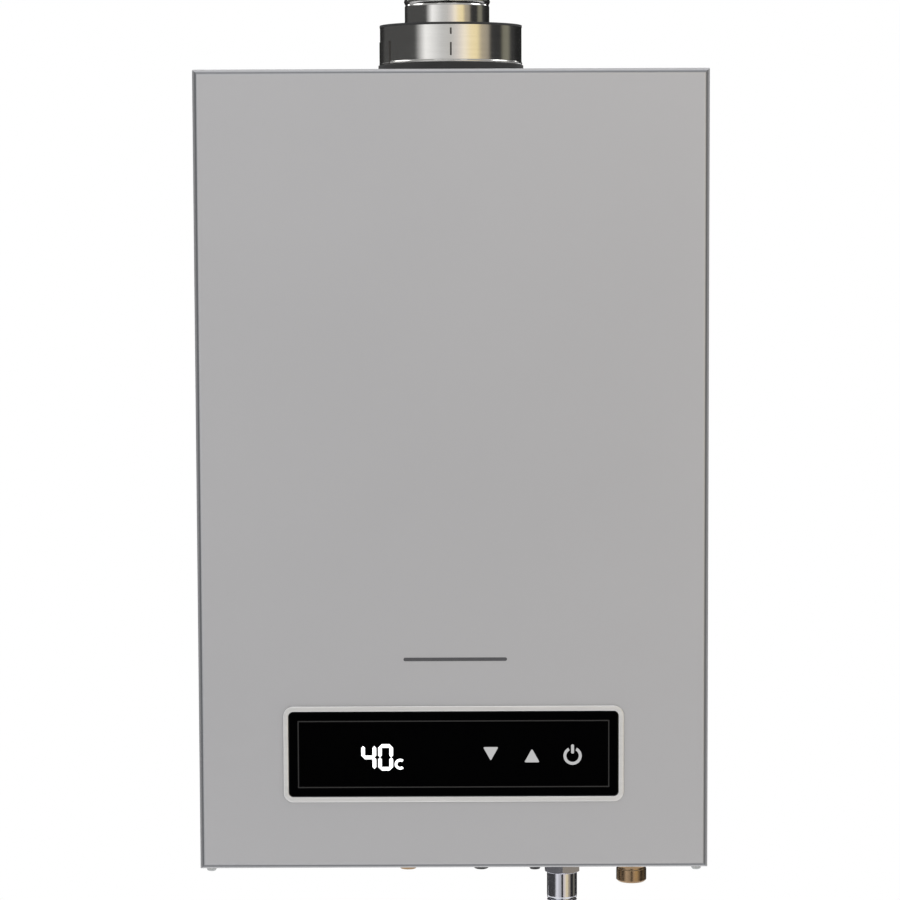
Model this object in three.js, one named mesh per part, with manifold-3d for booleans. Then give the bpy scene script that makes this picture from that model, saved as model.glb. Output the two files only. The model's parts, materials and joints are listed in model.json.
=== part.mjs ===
// A wall-hung, room-sealed gas water heater with a coaxial flue on top, in millimetres.
// Right is +X, the wall is the plane y = 0, the front faces -Y and up is +Z. While a piece
// is made, z = 0 is the underside of the casing. Each finished piece is then lowered by
// BRACKET_Z, so that the heater's origin is on the back face of the wall bracket.
import * as THREE from 'three';
import { mergeVertices } from 'three/addons/utils/BufferGeometryUtils.js';
import Module from 'manifold-3d';

const wasm = await Module();
wasm.setup();

// ---- Driving dimensions ----

const GAP = 0.3; // clearance between two pieces that meet
const REACH = 5; // how far a cutting tool runs past the face it cuts
const LAP = 1; // how far two solids of one piece run into each other

const CASE_WIDTH = 345;
const CASE_HEIGHT = 540;
const CASE_DEPTH = 165; // wall to front face
const COVER_SHEET = 1.2;
const BEND_RADIUS = 4.5; // outside radius of the cover's bends
const COVER_LIP = 26; // depth of the cover's top and bottom returns
const SLIT = { drop: 12.5, length: 5, width: 1.6 }; // relief at each side bend, below the top
const CHASSIS_SHEET = 1.5;
const CHASSIS_FLANGE = 8; // returns that carry the seal
const SEAL_DEPTH = 8;
const SEAL_WIDTH = 6;
const WALL_GAP = 8; // wall to the chassis
const SCREW = { inset: 6.5, back: 18, head: 3.4, headLow: 4.6, shank: 2, slot: 1 }; // captive

const BRACKET_WIDTH = 200;
const BRACKET_HEIGHT = 40;
const BRACKET_DROP = 60; // top of the casing to the middle of the bracket
const BRACKET_SHEET = 2;
const HOOK_SPACING = 140;
const HOOK_WIDTH = 20;
const HOOK_RISE = 12;
const HOOK_ROOM = 2; // hook to the chassis sheet that hangs on it
const BRACKET_SLOT = { length: 12, width: 6, pitch: 45, count: 4 };
const SPACER = { inset: 50, z: 40, half: 14, stem: 4, head: 6, headDepth: 5 };

const GLASS_WIDTH = 223;
const GLASS_HEIGHT = 58;
const GLASS_THICKNESS = 2;
const GLASS_CORNER = 3;
const GLASS_MIDDLE_Z = 79; // above the underside of the casing
const GLASS_SUNK = 0.4; // front of the bezel to the face of the glass
const BEZEL_FLANGE = 3.8; // bezel showing round the glass
const BEZEL_NECK = 1.2; // bezel wall beside the glass, inside the cover's cut-out
const BEZEL_PROUD = 1.4;
const BEZEL_LEDGE = 5; // rim that the glass is bonded to
const BEZEL_BEHIND = 3; // neck behind the cover
const DISPLAY = { depth: 15, wall: 2, boardInset: 4, boardBack: 3, board: 1.6 };
const DIGIT_BLOCK = { left: 20, right: 30, half: 14, depth: 3 }; // about the middle of the left half

const FLUE_BACK = 85; // front face to the flue's axis
const COLLAR_DIAMETER = 98; // goes into the 100 mm air pipe
const COLLAR_WALL = 1.2;
const COLLAR_RISE = 32.5; // above the casing
const GASKET = { lip: 3, wall: 0.9, rise: 5.6 }; // rubber ring; rise: above the casing
const EXHAUST_DIAMETER = 58.5; // goes into the 60 mm exhaust pipe
const EXHAUST_WALL = 1;
const EXHAUST_RISE = 45; // above the collar
const EXHAUST_BEAD = { rise: 16.8, half: 1.5, height: 0.6 }; // above the collar
const EXHAUST_OFFSET = -2.5; // sideways from the collar's axis

const SIDE_COLUMN = 72.5; // each side of the burner and heat exchanger
const CORE_BACK = 30; // wall to the heat exchanger
const CORE_FRONT_ROOM = 35; // front face to the heat exchanger
const COPPER_SHEET = 1.2;
const VALVE_BAY_HEIGHT = 120; // underside of the casing to the burner tray
const TRAY = { height: 50, sheet: 1.5, slotHalf: 4, slotInset: 20 };
const BURNER_COUNT = 6;
const BURNER = { thickness: 12, below: 4, slotHalf: 2.5, slotInset: 3, throat: 4.5, throatDepth: 30 };
const BURNER_SIDE_ROOM = 10; // each side of the row of burners
const NOZZLE_RISE = 14; // above the bottom of the tray
const PROBE = { side: 30, rise: 12, body: 3.5, wire: 1, out: 14, wireOut: 20, wireIn: 26 };
const PROBE_FLANGE = { half: 9, rise: 5, depth: 3 };

const VALVE = { half: 30, low: 24, top: 72, front: 40, back: 25, inlet: 14 };
const REGULATOR = { radius: 16, z: 48, length: 8 }; // round cap on the valve's front
const VALVE_OUTLET = { front: 26, outer: 8, bore: 5, rise: 20, depth: 20 };
const PLUNGER_WELL = { radius: 6.5, depth: 18 };
const MANIFOLD = { front: 15, back: 3, half: 8, end: 10, nozzle: 3 };
const FEED = { radius: 5.5, rise: 12, bend: 8 };
const SOLENOID = { left: 14, back: 8, halfWidth: 14, halfDepth: 12, height: 36, cap: 4, bore: 5 };
const PLUNGER = { top: 18, low: 14, disc: 5.6, discHigh: 11, neck: 2.4, neckHigh: 3, play: 0.5 };
const SPRING = { wire: 0.45, radius: 3.4, turns: 5 };

const FAN_RADIUS = 50; // outside of the scroll
const FAN_SHEET = 1.5;
const FAN_BELOW_TOP = 20; // top of the casing to the top of the scroll
const DUCT_RISE = 16; // the scroll's outlet inside the exhaust pipe
const IMPELLER_RADIUS = 38;
const IMPELLER_DEPTH = 42;
const IMPELLER = { sheet: 1.5, rim: 6, hub: 8, hubDepth: 22, blade: 6, bladeSheet: 1, bladeLean: 0.5 };
const BLADE_COUNT = 18;
const EYE_RADIUS = 22;
const SHAFT = { radius: 3, inMotor: 20, inWheel: 26 };
const MOTOR_RADIUS = 30;
const MOTOR = { depth: 32, boss: 12, bossDepth: 3, post: 3, postRing: 22, postLength: 4, bore: 22 };
const SCROLL_COVER = { sheet: 2, hole: 9 };
const HOOD_HEIGHT = 13;
const HOOD = { inset: 2, backRoom: 5, side: 1 };

const WATER_TUBE = 6; // radius of the copper tube
const BEND = 16; // radius of its bends
const COIL_TURNS = 2;
const COIL_PITCH = 34;
const COIL_RISE = 26; // bottom of the shell to the coil
const FIN_COUNT = 8;
const FIN_HEIGHT = 36;
const FIN_SLOT = { share: 0.3, inset: 3 }; // of the pitch, each side of a slot's middle
const FIN_DROP = 30; // top of the shell to the middle of the fins
const PASS_COUNT = 4;
const PASS_INSET = 14; // front and back of the shell to the outer passes
const PASS_TURN = 18; // how far the U-bends stand out of the shell
const TUBE_STUB = 5; // straight ends of the fin tubes outside the shell

const PIPE_BACK = 80; // front face to the axes of the connections
const COLD_INSET = 47.1; // side of the casing to the cold inlet
const HOT_TO_COLD = 49;
const GLAND_TO_HOT = 19.1;
const DRAIN_TO_HOT = 57;
const GAS_TO_DRAIN = 51.6;
const COLD = { radius: 10.6, bore: 7.8, reach: 27, top: 18, chamfer: 1.2 }; // reach: below the casing
const HOT = { radius: 10.6, bore: 8, reach: 56, top: 16, thread: 10.45, threadLength: 20 };
const HOT_NUT = { acrossFlats: 24, drop: 20 };
const GAS = { radius: 6.75, bore: 4, reach: 17.4, barb: 4.5, barbDepth: 0.9, barbCount: 3 };
const DRAIN = { radius: 5.5, reach: 17.8, stem: 18, collar: 3, flutes: 8, flute: 0.8 };
const GLAND = { radius: 4.4, bore: 2.6, reach: 18.2, flange: 5.9, flangeDepth: 4, top: 6, chamfer: 2 };
const FILTER = { wall: 1, low: 8, high: 12, slotHalf: 2, slotLow: 4, slotHigh: 8 };
const WATER_BODY = { left: 20, right: 18, front: 18, back: 22, shoulder: 12, neck: 12, top: 58 };
const ROTOR = { bore: 11.5, hub: 4, vane: 6.5, vaneSheet: 1.2, vanes: 6, low: 7, high: 18 };
const COCK = { half: 9, top: 34, tubeBack: 17, tube: 3.5, tubeZ: 27, depth: 5, well: 20 };

const ELECTRICS_BACK = 4; // chassis to what is screwed to it
const BOX = { low: 190, belowFins: 22, wall: 2, depth: 60, side: 3 };
const BOARD = { sheet: 1.6, back: 14, inset: 2, endInset: 4 };
const BLOCKS = { count: 4, first: 14, pitch: 22, height: 14, half: 10, depth: 16 }; // on the board
const TRANSFORMER = { width: 42, low: 66, high: 112, depth: 34, back: 6 };
Object.assign(TRANSFORMER, { winding: 10, windingInset: 8, windingProud: 5 });
const IGNITER = { low: 150, high: 210, depth: 54, post: 5, postRise: 48, postLength: 12 };
const AIR_SWITCH = { side: 30, radius: 26, depth: 22, port: 3, portLength: 14, terminal: 4 };
const THERMOSTAT = { share: 0.6, radius: 8, depth: 6, tab: 3, tabLength: 7, tabHalf: 1 };

// ---- Planes and axes that follow from them ----

const HALF = CASE_WIDTH / 2;
const FRONT = -CASE_DEPTH;
const COVER_INSIDE = FRONT + COVER_SHEET;
const BACK = -WALL_GAP;
const BACK_INSIDE = BACK - CHASSIS_SHEET;
const CHASSIS_LOW = COVER_SHEET + GAP;
const CHASSIS_HIGH = CASE_HEIGHT - COVER_SHEET - GAP;
const CHASSIS_HALF = HALF - COVER_SHEET - GAP;
const CHASSIS_FRONT = COVER_INSIDE + SEAL_DEPTH + 2 * GAP;
const PLATE_HALF = CHASSIS_HALF - CHASSIS_SHEET - GAP;
const FLOOR = CHASSIS_LOW + CHASSIS_SHEET; // inside face of the bottom plate
const FLUE_Y = FRONT + FLUE_BACK;
const PIPE_Y = FRONT + PIPE_BACK;
const COLD_X = HALF - COLD_INSET;
const HOT_X = COLD_X - HOT_TO_COLD;
const GLAND_X = HOT_X - GLAND_TO_HOT;
const DRAIN_X = HOT_X - DRAIN_TO_HOT;
const GAS_X = DRAIN_X - GAS_TO_DRAIN;
const SCREW_X = HALF - SCREW.inset;
const SCREW_Y = FRONT + SCREW.back;
const BRACKET_Z = CASE_HEIGHT - BRACKET_DROP;
const CORE_HALF = HALF - SIDE_COLUMN;
const CORE_REAR = -CORE_BACK;
const CORE_FRONT = FRONT + CORE_FRONT_ROOM;
const DUCT_RADIUS = EXHAUST_DIAMETER / 2 - EXHAUST_WALL - GAP;
const FAN_X = EXHAUST_OFFSET - DUCT_RADIUS + FAN_RADIUS;
const FAN_TOP = CASE_HEIGHT - FAN_BELOW_TOP;
const FAN_Z = FAN_TOP - FAN_RADIUS - BRACKET_SHEET;
const FAN_BACK = FLUE_Y + EXHAUST_DIAMETER / 2;
const FAN_FRONT = FLUE_Y - EXHAUST_DIAMETER / 2;
const HOOD_LOW = FAN_Z - FAN_RADIUS - HOOD_HEIGHT - GAP;
const TRAY_LOW = VALVE_BAY_HEIGHT;
const TRAY_HIGH = TRAY_LOW + TRAY.height;
const SHELL_LOW = TRAY_HIGH + 2;
const SHELL_HIGH = HOOD_LOW - GAP;
const FIN_Z = SHELL_HIGH - FIN_DROP;
const PASS_PITCH = (CORE_REAR - CORE_FRONT - 2 * PASS_INSET) / (PASS_COUNT - 1);
const PASS_RADIUS = WATER_TUBE - 0.5;
const TUBE_END = CORE_HALF + TUBE_STUB;
const COIL_START = SHELL_LOW + COIL_RISE;
const COIL_STAND = WATER_TUBE * Math.SQRT1_2 + BEND / 4 + 1.6; // its bends clear the shell's corners
const COLLAR_TOP = CASE_HEIGHT + COLLAR_RISE;
const GASKET_LOW = CHASSIS_HIGH + GAP;
const COLLAR_LOW = GASKET_LOW + GASKET.lip + GAP;
const NOZZLE_Z = TRAY_LOW + NOZZLE_RISE;
const BURNER_PITCH = (2 * CORE_HALF - 2 * BURNER_SIDE_ROOM) / BURNER_COUNT;
const COIL_X = GAS_X - SOLENOID.left;
const COIL_Y = PIPE_Y + SOLENOID.back;
const PROBE_Z = SHELL_LOW + PROBE.rise;
const ELECTRICS_Y = BACK_INSIDE - ELECTRICS_BACK;

const burnerX = (i) => (i - (BURNER_COUNT - 1) / 2) * BURNER_PITCH;
const passY = (i) => CORE_FRONT + PASS_INSET + i * PASS_PITCH;
const about = (middle, half) => [middle - half, middle + half];
const shrink = ([a, b], by) => [a + by, b - by];
const ordered = (a, b) => (a < b ? [a, b] : [b, a]);

// ---- Solids from three.js geometry ----

const BASES = {
  x: [[0, 1, 0], [0, 0, 1], [1, 0, 0]],
  y: [[1, 0, 0], [0, 0, 1], [0, -1, 0]],
  z: [[1, 0, 0], [0, 1, 0], [0, 0, 1]],
};

function solidOf(geometry) {
  const bare = geometry.clone();
  bare.deleteAttribute('normal');
  bare.deleteAttribute('uv');
  const merged = mergeVertices(bare, 1e-4);
  const index = merged.index.array;
  const triangles = [];
  for (let i = 0; i < index.length; i += 3) {
    const [a, b, c] = [index[i], index[i + 1], index[i + 2]];
    if (a !== b && b !== c && c !== a) triangles.push(a, b, c);
  }
  return new wasm.Manifold(new wasm.Mesh({
    numProp: 3,
    vertProperties: Float32Array.from(merged.attributes.position.array),
    triVerts: Uint32Array.from(triangles),
  }));
}

function geometryOf(solid) {
  const mesh = solid.getMesh();
  const geometry = new THREE.BufferGeometry();
  geometry.setAttribute('position', new THREE.Float32BufferAttribute(mesh.vertProperties, 3));
  geometry.setIndex(Array.from(mesh.triVerts));
  geometry.computeVertexNormals();
  return geometry;
}

function block([x0, x1], [y0, y1], [z0, z1]) {
  const geometry = new THREE.BoxGeometry(x1 - x0, y1 - y0, z1 - z0);
  geometry.translate((x0 + x1) / 2, (y0 + y1) / 2, (z0 + z1) / 2);
  return solidOf(geometry);
}

// A flat outline carried along one axis. Its plane is (x, y), (x, z) or (y, z).
function prism(shape, axis, [lo, hi], curveSegments = 2) {
  const options = { depth: hi - lo, bevelEnabled: false, curveSegments };
  const geometry = new THREE.ExtrudeGeometry(shape, options);
  const [u, v, w] = BASES[axis].map((row) => new THREE.Vector3(...row));
  geometry.applyMatrix4(new THREE.Matrix4().makeBasis(u, v, w));
  geometry.translate(...w.clone().multiplyScalar(axis === 'y' ? -hi : lo).toArray());
  return solidOf(geometry);
}

function rod(axis, radius, span, [a, b], sides = 20) {
  const shape = new THREE.Shape().absarc(a, b, radius, 0, 2 * Math.PI);
  return prism(shape, axis, span, sides / 2);
}

// A profile of [radius, z] points turned about a vertical axis through (x, y).
function turned(profile, x, y, sides = 24) {
  const points = profile.map(([r, z]) => new THREE.Vector2(r, z));
  const geometry = new THREE.LatheGeometry([...points, points[0]], sides);
  geometry.rotateX(Math.PI / 2);
  geometry.translate(x, y, 0);
  return solidOf(geometry);
}

function roundedRectangle(x0, x1, y0, y1, radius) {
  const quarter = Math.PI / 2;
  return new THREE.Shape()
    .moveTo(x0 + radius, y0)
    .absarc(x1 - radius, y0 + radius, radius, -quarter, 0)
    .absarc(x1 - radius, y1 - radius, radius, 0, quarter)
    .absarc(x0 + radius, y1 - radius, radius, quarter, 2 * quarter)
    .absarc(x0 + radius, y0 + radius, radius, 2 * quarter, 3 * quarter);
}

// A hexagon with a flat on each side along X.
function hexagon(acrossFlats, x, y) {
  const corners = [];
  const reach = acrossFlats / Math.sqrt(3);
  for (let i = 0; i < 6; i += 1) {
    const angle = (i * Math.PI) / 3;
    corners.push(new THREE.Vector2(x + reach * Math.sin(angle), y + reach * Math.cos(angle)));
  }
  return new THREE.Shape(corners);
}

// A route of straight runs joined by bends.
function route(corners, bend) {
  const points = corners.map((corner) => new THREE.Vector3(...corner));
  const path = new THREE.CurvePath();
  let from = points[0];
  for (let i = 1; i < points.length - 1; i += 1) {
    const before = points[i].distanceTo(points[i - 1]);
    const after = points[i].distanceTo(points[i + 1]);
    const cut = Math.min(bend, before * 0.49, after * 0.49);
    const enter = points[i].clone().lerp(points[i - 1], cut / before);
    const leave = points[i].clone().lerp(points[i + 1], cut / after);
    path.add(new THREE.LineCurve3(from, enter));
    path.add(new THREE.QuadraticBezierCurve3(enter, points[i], leave));
    from = leave;
  }
  path.add(new THREE.LineCurve3(from, points[points.length - 1]));
  return path;
}

function swept(path, radius, steps, sides = 8) {
  const section = new THREE.Shape().absarc(0, 0, radius, 0, 2 * Math.PI);
  const options = { steps, curveSegments: sides / 2, extrudePath: path, bevelEnabled: false };
  return solidOf(new THREE.ExtrudeGeometry(section, options));
}

class Helix extends THREE.Curve {
  constructor(x, y, radius, [low, high], turns) {
    super();
    Object.assign(this, { x, y, radius, low, high, turns });
  }

  getPoint(t) {
    const angle = 2 * Math.PI * this.turns * t;
    const [dx, dy] = [this.radius * Math.cos(angle), this.radius * Math.sin(angle)];
    return new THREE.Vector3(this.x + dx, this.y + dy, this.low + (this.high - this.low) * t);
  }
}

// ---- Finishes ----

const FINISHES = {
  silverPaint: ['#b1afb5', 0.42, 0.35],
  zinc: ['#a9adb0', 0.45, 0.9],
  blackGlass: ['#050506', 0.05, 0],
  satinMetal: ['#cfcfd0', 0.3, 0.9],
  stainless: ['#c9c8c4', 0.12, 1],
  copper: ['#b56b44', 0.35, 1],
  brass: ['#b8925a', 0.3, 1],
  chrome: ['#d8d9de', 0.06, 1],
  castAluminium: ['#9a9c9e', 0.5, 0.9],
  steel: ['#8e9092', 0.4, 0.9],
  blackPlastic: ['#1c1c1e', 0.5, 0],
  greyPlastic: ['#8b8e90', 0.5, 0],
  whitePlastic: ['#e4e4df', 0.5, 0],
  bluePlastic: ['#2f5f8f', 0.5, 0],
  rubber: ['#161616', 0.8, 0],
  ceramic: ['#ece7dc', 0.4, 0],
  circuitBoard: ['#1f5a34', 0.5, 0],
};

const heater = new THREE.Group();

function add(name, solid, finish) {
  const [color, roughness, metalness] = FINISHES[finish];
  const material = new THREE.MeshStandardMaterial({ color, roughness, metalness });
  const mesh = new THREE.Mesh(geometryOf(solid), material);
  mesh.name = name;
  mesh.position.z = -BRACKET_Z;
  heater.add(mesh);
}

// ---- Wall fixings ----

function addWallBracket() {
  const [low, high] = about(BRACKET_Z, BRACKET_HEIGHT / 2);
  const span = about(0, BRACKET_WIDTH / 2);
  const ledge = [BACK + GAP, 0];
  const under = [high - BRACKET_SHEET, high];
  let bracket = block(span, [-BRACKET_SHEET, 0], [low, high]);
  bracket = bracket.add(block(span, ledge, under));
  bracket = bracket.add(block(span, ledge, [low, low + BRACKET_SHEET]));
  for (const side of [-1, 1]) {
    const hook = about((side * HOOK_SPACING) / 2, HOOK_WIDTH / 2);
    const tip = BACK_INSIDE - HOOK_ROOM - BRACKET_SHEET;
    bracket = bracket.add(block(hook, [tip, -BRACKET_SHEET], under));
    bracket = bracket.add(block(hook, [tip, tip + BRACKET_SHEET], [under[0], high + HOOK_RISE]));
  }
  const halfWidth = BRACKET_SLOT.width / 2;
  for (let i = 0; i < BRACKET_SLOT.count; i += 1) {
    const x = (i - (BRACKET_SLOT.count - 1) / 2) * BRACKET_SLOT.pitch;
    const [left, right] = about(x, BRACKET_SLOT.length / 2);
    const [bottom, top] = about(BRACKET_Z, halfWidth);
    const slot = roundedRectangle(left, right, bottom, top, halfWidth - 0.1);
    bracket = bracket.subtract(prism(slot, 'y', [-BRACKET_SHEET - REACH, REACH]));
  }
  add('wall_bracket', bracket, 'zinc');
}

function addLowerSpacers() {
  for (const [side, name] of [[-1, 'lower_spacer_left'], [1, 'lower_spacer_right']]) {
    const x = side * (HALF - SPACER.inset);
    const pad = block(about(x, SPACER.half), [BACK + GAP, 0], about(SPACER.z, SPACER.half));
    const stem = rod('y', SPACER.stem, [BACK_INSIDE - 3, BACK + LAP], [x, SPACER.z], 12);
    const headSpan = [BACK_INSIDE - SPACER.headDepth, BACK_INSIDE - GAP];
    add(name, pad.add(stem).add(rod('y', SPACER.head, headSpan, [x, SPACER.z], 12)), 'rubber');
  }
}

// ---- Chassis ----

function addChassisBack() {
  const height = [CHASSIS_LOW, CHASSIS_HIGH];
  const through = [BACK_INSIDE - REACH, BACK + REACH];
  const ledgeTop = BRACKET_Z + BRACKET_HEIGHT / 2;
  const flangeHeight = [FLOOR + GAP, CHASSIS_HIGH - CHASSIS_SHEET - GAP];
  const flangeDepth = [CHASSIS_FRONT, CHASSIS_FRONT + CHASSIS_SHEET];
  let chassis = block(about(0, CHASSIS_HALF), [BACK_INSIDE, BACK], height);
  for (const side of [-1, 1]) {
    const wall = ordered(side * CHASSIS_HALF, side * (CHASSIS_HALF - CHASSIS_SHEET));
    const flange = ordered(side * CHASSIS_HALF, side * (CHASSIS_HALF - CHASSIS_FLANGE));
    chassis = chassis.add(block(wall, [CHASSIS_FRONT, BACK], height));
    chassis = chassis.add(block(flange, flangeDepth, flangeHeight));
    const slot = about((side * HOOK_SPACING) / 2, HOOK_WIDTH / 2 + 1);
    const slotHeight = [ledgeTop - HOOK_RISE - 4, ledgeTop + GAP];
    chassis = chassis.subtract(block(slot, through, slotHeight));
    const spacer = [side * (HALF - SPACER.inset), SPACER.z];
    chassis = chassis.subtract(rod('y', SPACER.stem + GAP, through, spacer, 12));
  }
  add('chassis_back', chassis, 'zinc');
}

function plateWithFlange(plateSpan, flangeSpan) {
  const plate = block(about(0, PLATE_HALF), [CHASSIS_FRONT, BACK_INSIDE - GAP], plateSpan);
  const flangeHalf = CHASSIS_HALF - CHASSIS_FLANGE - GAP;
  const flangeDepth = [CHASSIS_FRONT, CHASSIS_FRONT + CHASSIS_SHEET];
  return plate.add(block(about(0, flangeHalf), flangeDepth, flangeSpan));
}

function addTopPlate() {
  const under = CHASSIS_HIGH - CHASSIS_SHEET;
  const flange = [CHASSIS_HIGH - CHASSIS_FLANGE, CHASSIS_HIGH];
  const plate = plateWithFlange([under, CHASSIS_HIGH], flange);
  const through = [under - REACH, CHASSIS_HIGH + REACH];
  const hole = rod('z', COLLAR_DIAMETER / 2 - GASKET.lip, through, [0, FLUE_Y], 32);
  add('top_plate', plate.subtract(hole), 'silverPaint');
}

function addBottomPlate() {
  const through = [CHASSIS_LOW - LAP, FLOOR + LAP];
  let plate = plateWithFlange([CHASSIS_LOW, FLOOR], [CHASSIS_LOW, CHASSIS_LOW + CHASSIS_FLANGE]);
  const holes = [
    [COLD_X, COLD.radius], [HOT_X, HOT.radius], [GLAND_X, GLAND.radius],
    [DRAIN_X, DRAIN.radius], [GAS_X, GAS.radius],
  ];
  for (const [x, radius] of holes) {
    plate = plate.subtract(rod('z', radius + 2 * GAP, through, [x, PIPE_Y], 24));
  }
  const room = SCREW.shank + GAP;
  for (const side of [-1, 1]) {
    const depth = [CHASSIS_FRONT - LAP, SCREW_Y + room];
    const height = [CHASSIS_LOW - LAP, FLOOR + 2 * GAP];
    plate = plate.subtract(block(about(side * SCREW_X, room), depth, height));
  }
  add('bottom_plate', plate, 'zinc');
}

function addCoverSeal() {
  const inset = BEND_RADIUS + 1;
  const span = about(0, HALF - inset);
  const height = [inset, CASE_HEIGHT - inset];
  const depth = [COVER_INSIDE + GAP, CHASSIS_FRONT - GAP];
  const hollow = block(shrink(span, SEAL_WIDTH), shrink(depth, -REACH), shrink(height, SEAL_WIDTH));
  add('cover_seal', block(span, depth, height).subtract(hollow), 'rubber');
}

// ---- Flue ----

function addFlue() {
  const radius = COLLAR_DIAMETER / 2;
  const outer = radius + GAP + GASKET.wall;
  const gasketTop = CASE_HEIGHT + GASKET.rise;
  add('flue_gasket', turned([
    [radius - GASKET.lip, GASKET_LOW], [outer, GASKET_LOW], [outer, gasketTop],
    [radius + GAP, gasketTop], [radius + GAP, COLLAR_LOW - GAP], [radius - GASKET.lip, COLLAR_LOW - GAP],
  ], 0, FLUE_Y, 40), 'rubber');

  const inner = radius - COLLAR_WALL;
  add('flue_collar', turned([
    [inner, COLLAR_LOW], [radius, COLLAR_LOW], [radius, COLLAR_TOP], [inner, COLLAR_TOP],
  ], 0, FLUE_Y, 40), 'stainless');

  const outside = EXHAUST_DIAMETER / 2;
  const bore = outside - EXHAUST_WALL;
  const bead = COLLAR_TOP + EXHAUST_BEAD.rise;
  const top = COLLAR_TOP + EXHAUST_RISE;
  add('exhaust_pipe', turned([
    [bore, FAN_TOP + LAP], [outside, FAN_TOP + LAP], [outside, bead - EXHAUST_BEAD.half],
    [outside + EXHAUST_BEAD.height, bead], [outside, bead + EXHAUST_BEAD.half],
    [outside, top], [bore, top],
  ], EXHAUST_OFFSET, FLUE_Y, 36), 'stainless');
}

// ---- Burner ----

function addBurnerTray() {
  const [span, depth] = [about(0, CORE_HALF), [CORE_FRONT, CORE_REAR]];
  const floor = [TRAY_LOW - LAP, TRAY_LOW + TRAY.sheet + LAP];
  const inside = [TRAY_LOW + TRAY.sheet, TRAY_HIGH + REACH];
  let tray = block(span, depth, [TRAY_LOW, TRAY_HIGH]);
  tray = tray.subtract(block(shrink(span, TRAY.sheet), shrink(depth, TRAY.sheet), inside));
  for (let i = 0; i < BURNER_COUNT; i += 1) {
    const x = burnerX(i);
    const nozzleHole = [CORE_FRONT - LAP, CORE_FRONT + TRAY.sheet + LAP];
    tray = tray.subtract(rod('y', BURNER.throat + 0.5, nozzleHole, [x, NOZZLE_Z], 12));
    tray = tray.subtract(block(about(x, TRAY.slotHalf), shrink(depth, TRAY.slotInset), floor));
  }
  add('burner_tray', tray, 'zinc');
}

function addBurnerBlades() {
  const depth = shrink([CORE_FRONT, CORE_REAR], TRAY.sheet + GAP);
  const height = [TRAY_LOW + TRAY.sheet + GAP, TRAY_HIGH - BURNER.below];
  const throat = [depth[0] - LAP, depth[0] + BURNER.throatDepth];
  for (let i = 0; i < BURNER_COUNT; i += 1) {
    const x = burnerX(i);
    const slot = block(about(x, BURNER.slotHalf), shrink(depth, BURNER.slotInset), [NOZZLE_Z, TRAY_HIGH]);
    let blade = block(about(x, BURNER.thickness / 2), depth, height);
    blade = blade.subtract(slot);
    blade = blade.subtract(rod('y', BURNER.throat, throat, [x, NOZZLE_Z], 12));
    add(`burner_blade_${i + 1}`, blade, 'stainless');
  }
}

function addProbe(name, x) {
  const at = [x, PROBE_Z];
  const body = rod('y', PROBE.body, [CORE_FRONT - PROBE.out, CORE_FRONT + PROBE.body * 2], at, 12);
  const flangeDepth = [CORE_FRONT - PROBE_FLANGE.depth, CORE_FRONT - GAP];
  const flange = block(about(x, PROBE_FLANGE.half), flangeDepth, about(PROBE_Z, PROBE_FLANGE.rise));
  const wire = rod('y', PROBE.wire, [CORE_FRONT - PROBE.wireOut, CORE_FRONT + PROBE.wireIn], at, 8);
  add(name, body.add(flange).add(wire), 'ceramic');
}

// ---- Gas train ----

const OUTLET_Y = PIPE_Y - VALVE_OUTLET.front;
const OUTLET_TOP = VALVE.top + VALVE_OUTLET.rise;

function addGasValve() {
  const depth = [PIPE_Y - VALVE.front, PIPE_Y + VALVE.back];
  const cap = [depth[0] - REGULATOR.length, depth[0] + LAP];
  const outletBore = [VALVE.top - VALVE_OUTLET.depth, OUTLET_TOP + REACH];
  const well = [VALVE.top - PLUNGER_WELL.depth, VALVE.top + LAP];
  let valve = block(about(GAS_X, VALVE.half), depth, [VALVE.low, VALVE.top]);
  valve = valve.add(rod('z', VALVE_OUTLET.outer, [VALVE.top - LAP, OUTLET_TOP], [GAS_X, OUTLET_Y], 16));
  valve = valve.add(rod('y', REGULATOR.radius, cap, [GAS_X, REGULATOR.z], 20));
  valve = valve.subtract(rod('z', VALVE_OUTLET.bore, outletBore, [GAS_X, OUTLET_Y], 12));
  valve = valve.subtract(rod('z', PLUNGER_WELL.radius, well, [COIL_X, COIL_Y], 16));
  const inlet = [VALVE.low - LAP, VALVE.low + VALVE.inlet];
  add('gas_valve_body', valve.subtract(rod('z', GAS.bore, inlet, [GAS_X, PIPE_Y], 12)), 'castAluminium');
}

function addManifold() {
  const depth = [CORE_FRONT - MANIFOLD.front, CORE_FRONT - MANIFOLD.back];
  const middle = (depth[0] + depth[1]) / 2;
  const end = burnerX(BURNER_COUNT - 1) + MANIFOLD.end;
  let manifold = block(about(0, end), depth, about(NOZZLE_Z, MANIFOLD.half));
  for (let i = 0; i < BURNER_COUNT; i += 1) {
    const nozzle = [depth[1] - LAP, CORE_FRONT + LAP];
    manifold = manifold.add(rod('y', MANIFOLD.nozzle, nozzle, [burnerX(i), NOZZLE_Z], 8));
  }
  const level = OUTLET_TOP + FEED.rise;
  const feed = route([
    [GAS_X, OUTLET_Y, OUTLET_TOP + GAP], [GAS_X, OUTLET_Y, level], [GAS_X, middle, level],
    [GAS_X, middle, NOZZLE_Z - MANIFOLD.half / 2],
  ], FEED.bend);
  add('gas_manifold', manifold.add(swept(feed, FEED.radius, 16, 10)), 'castAluminium');
}

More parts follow.
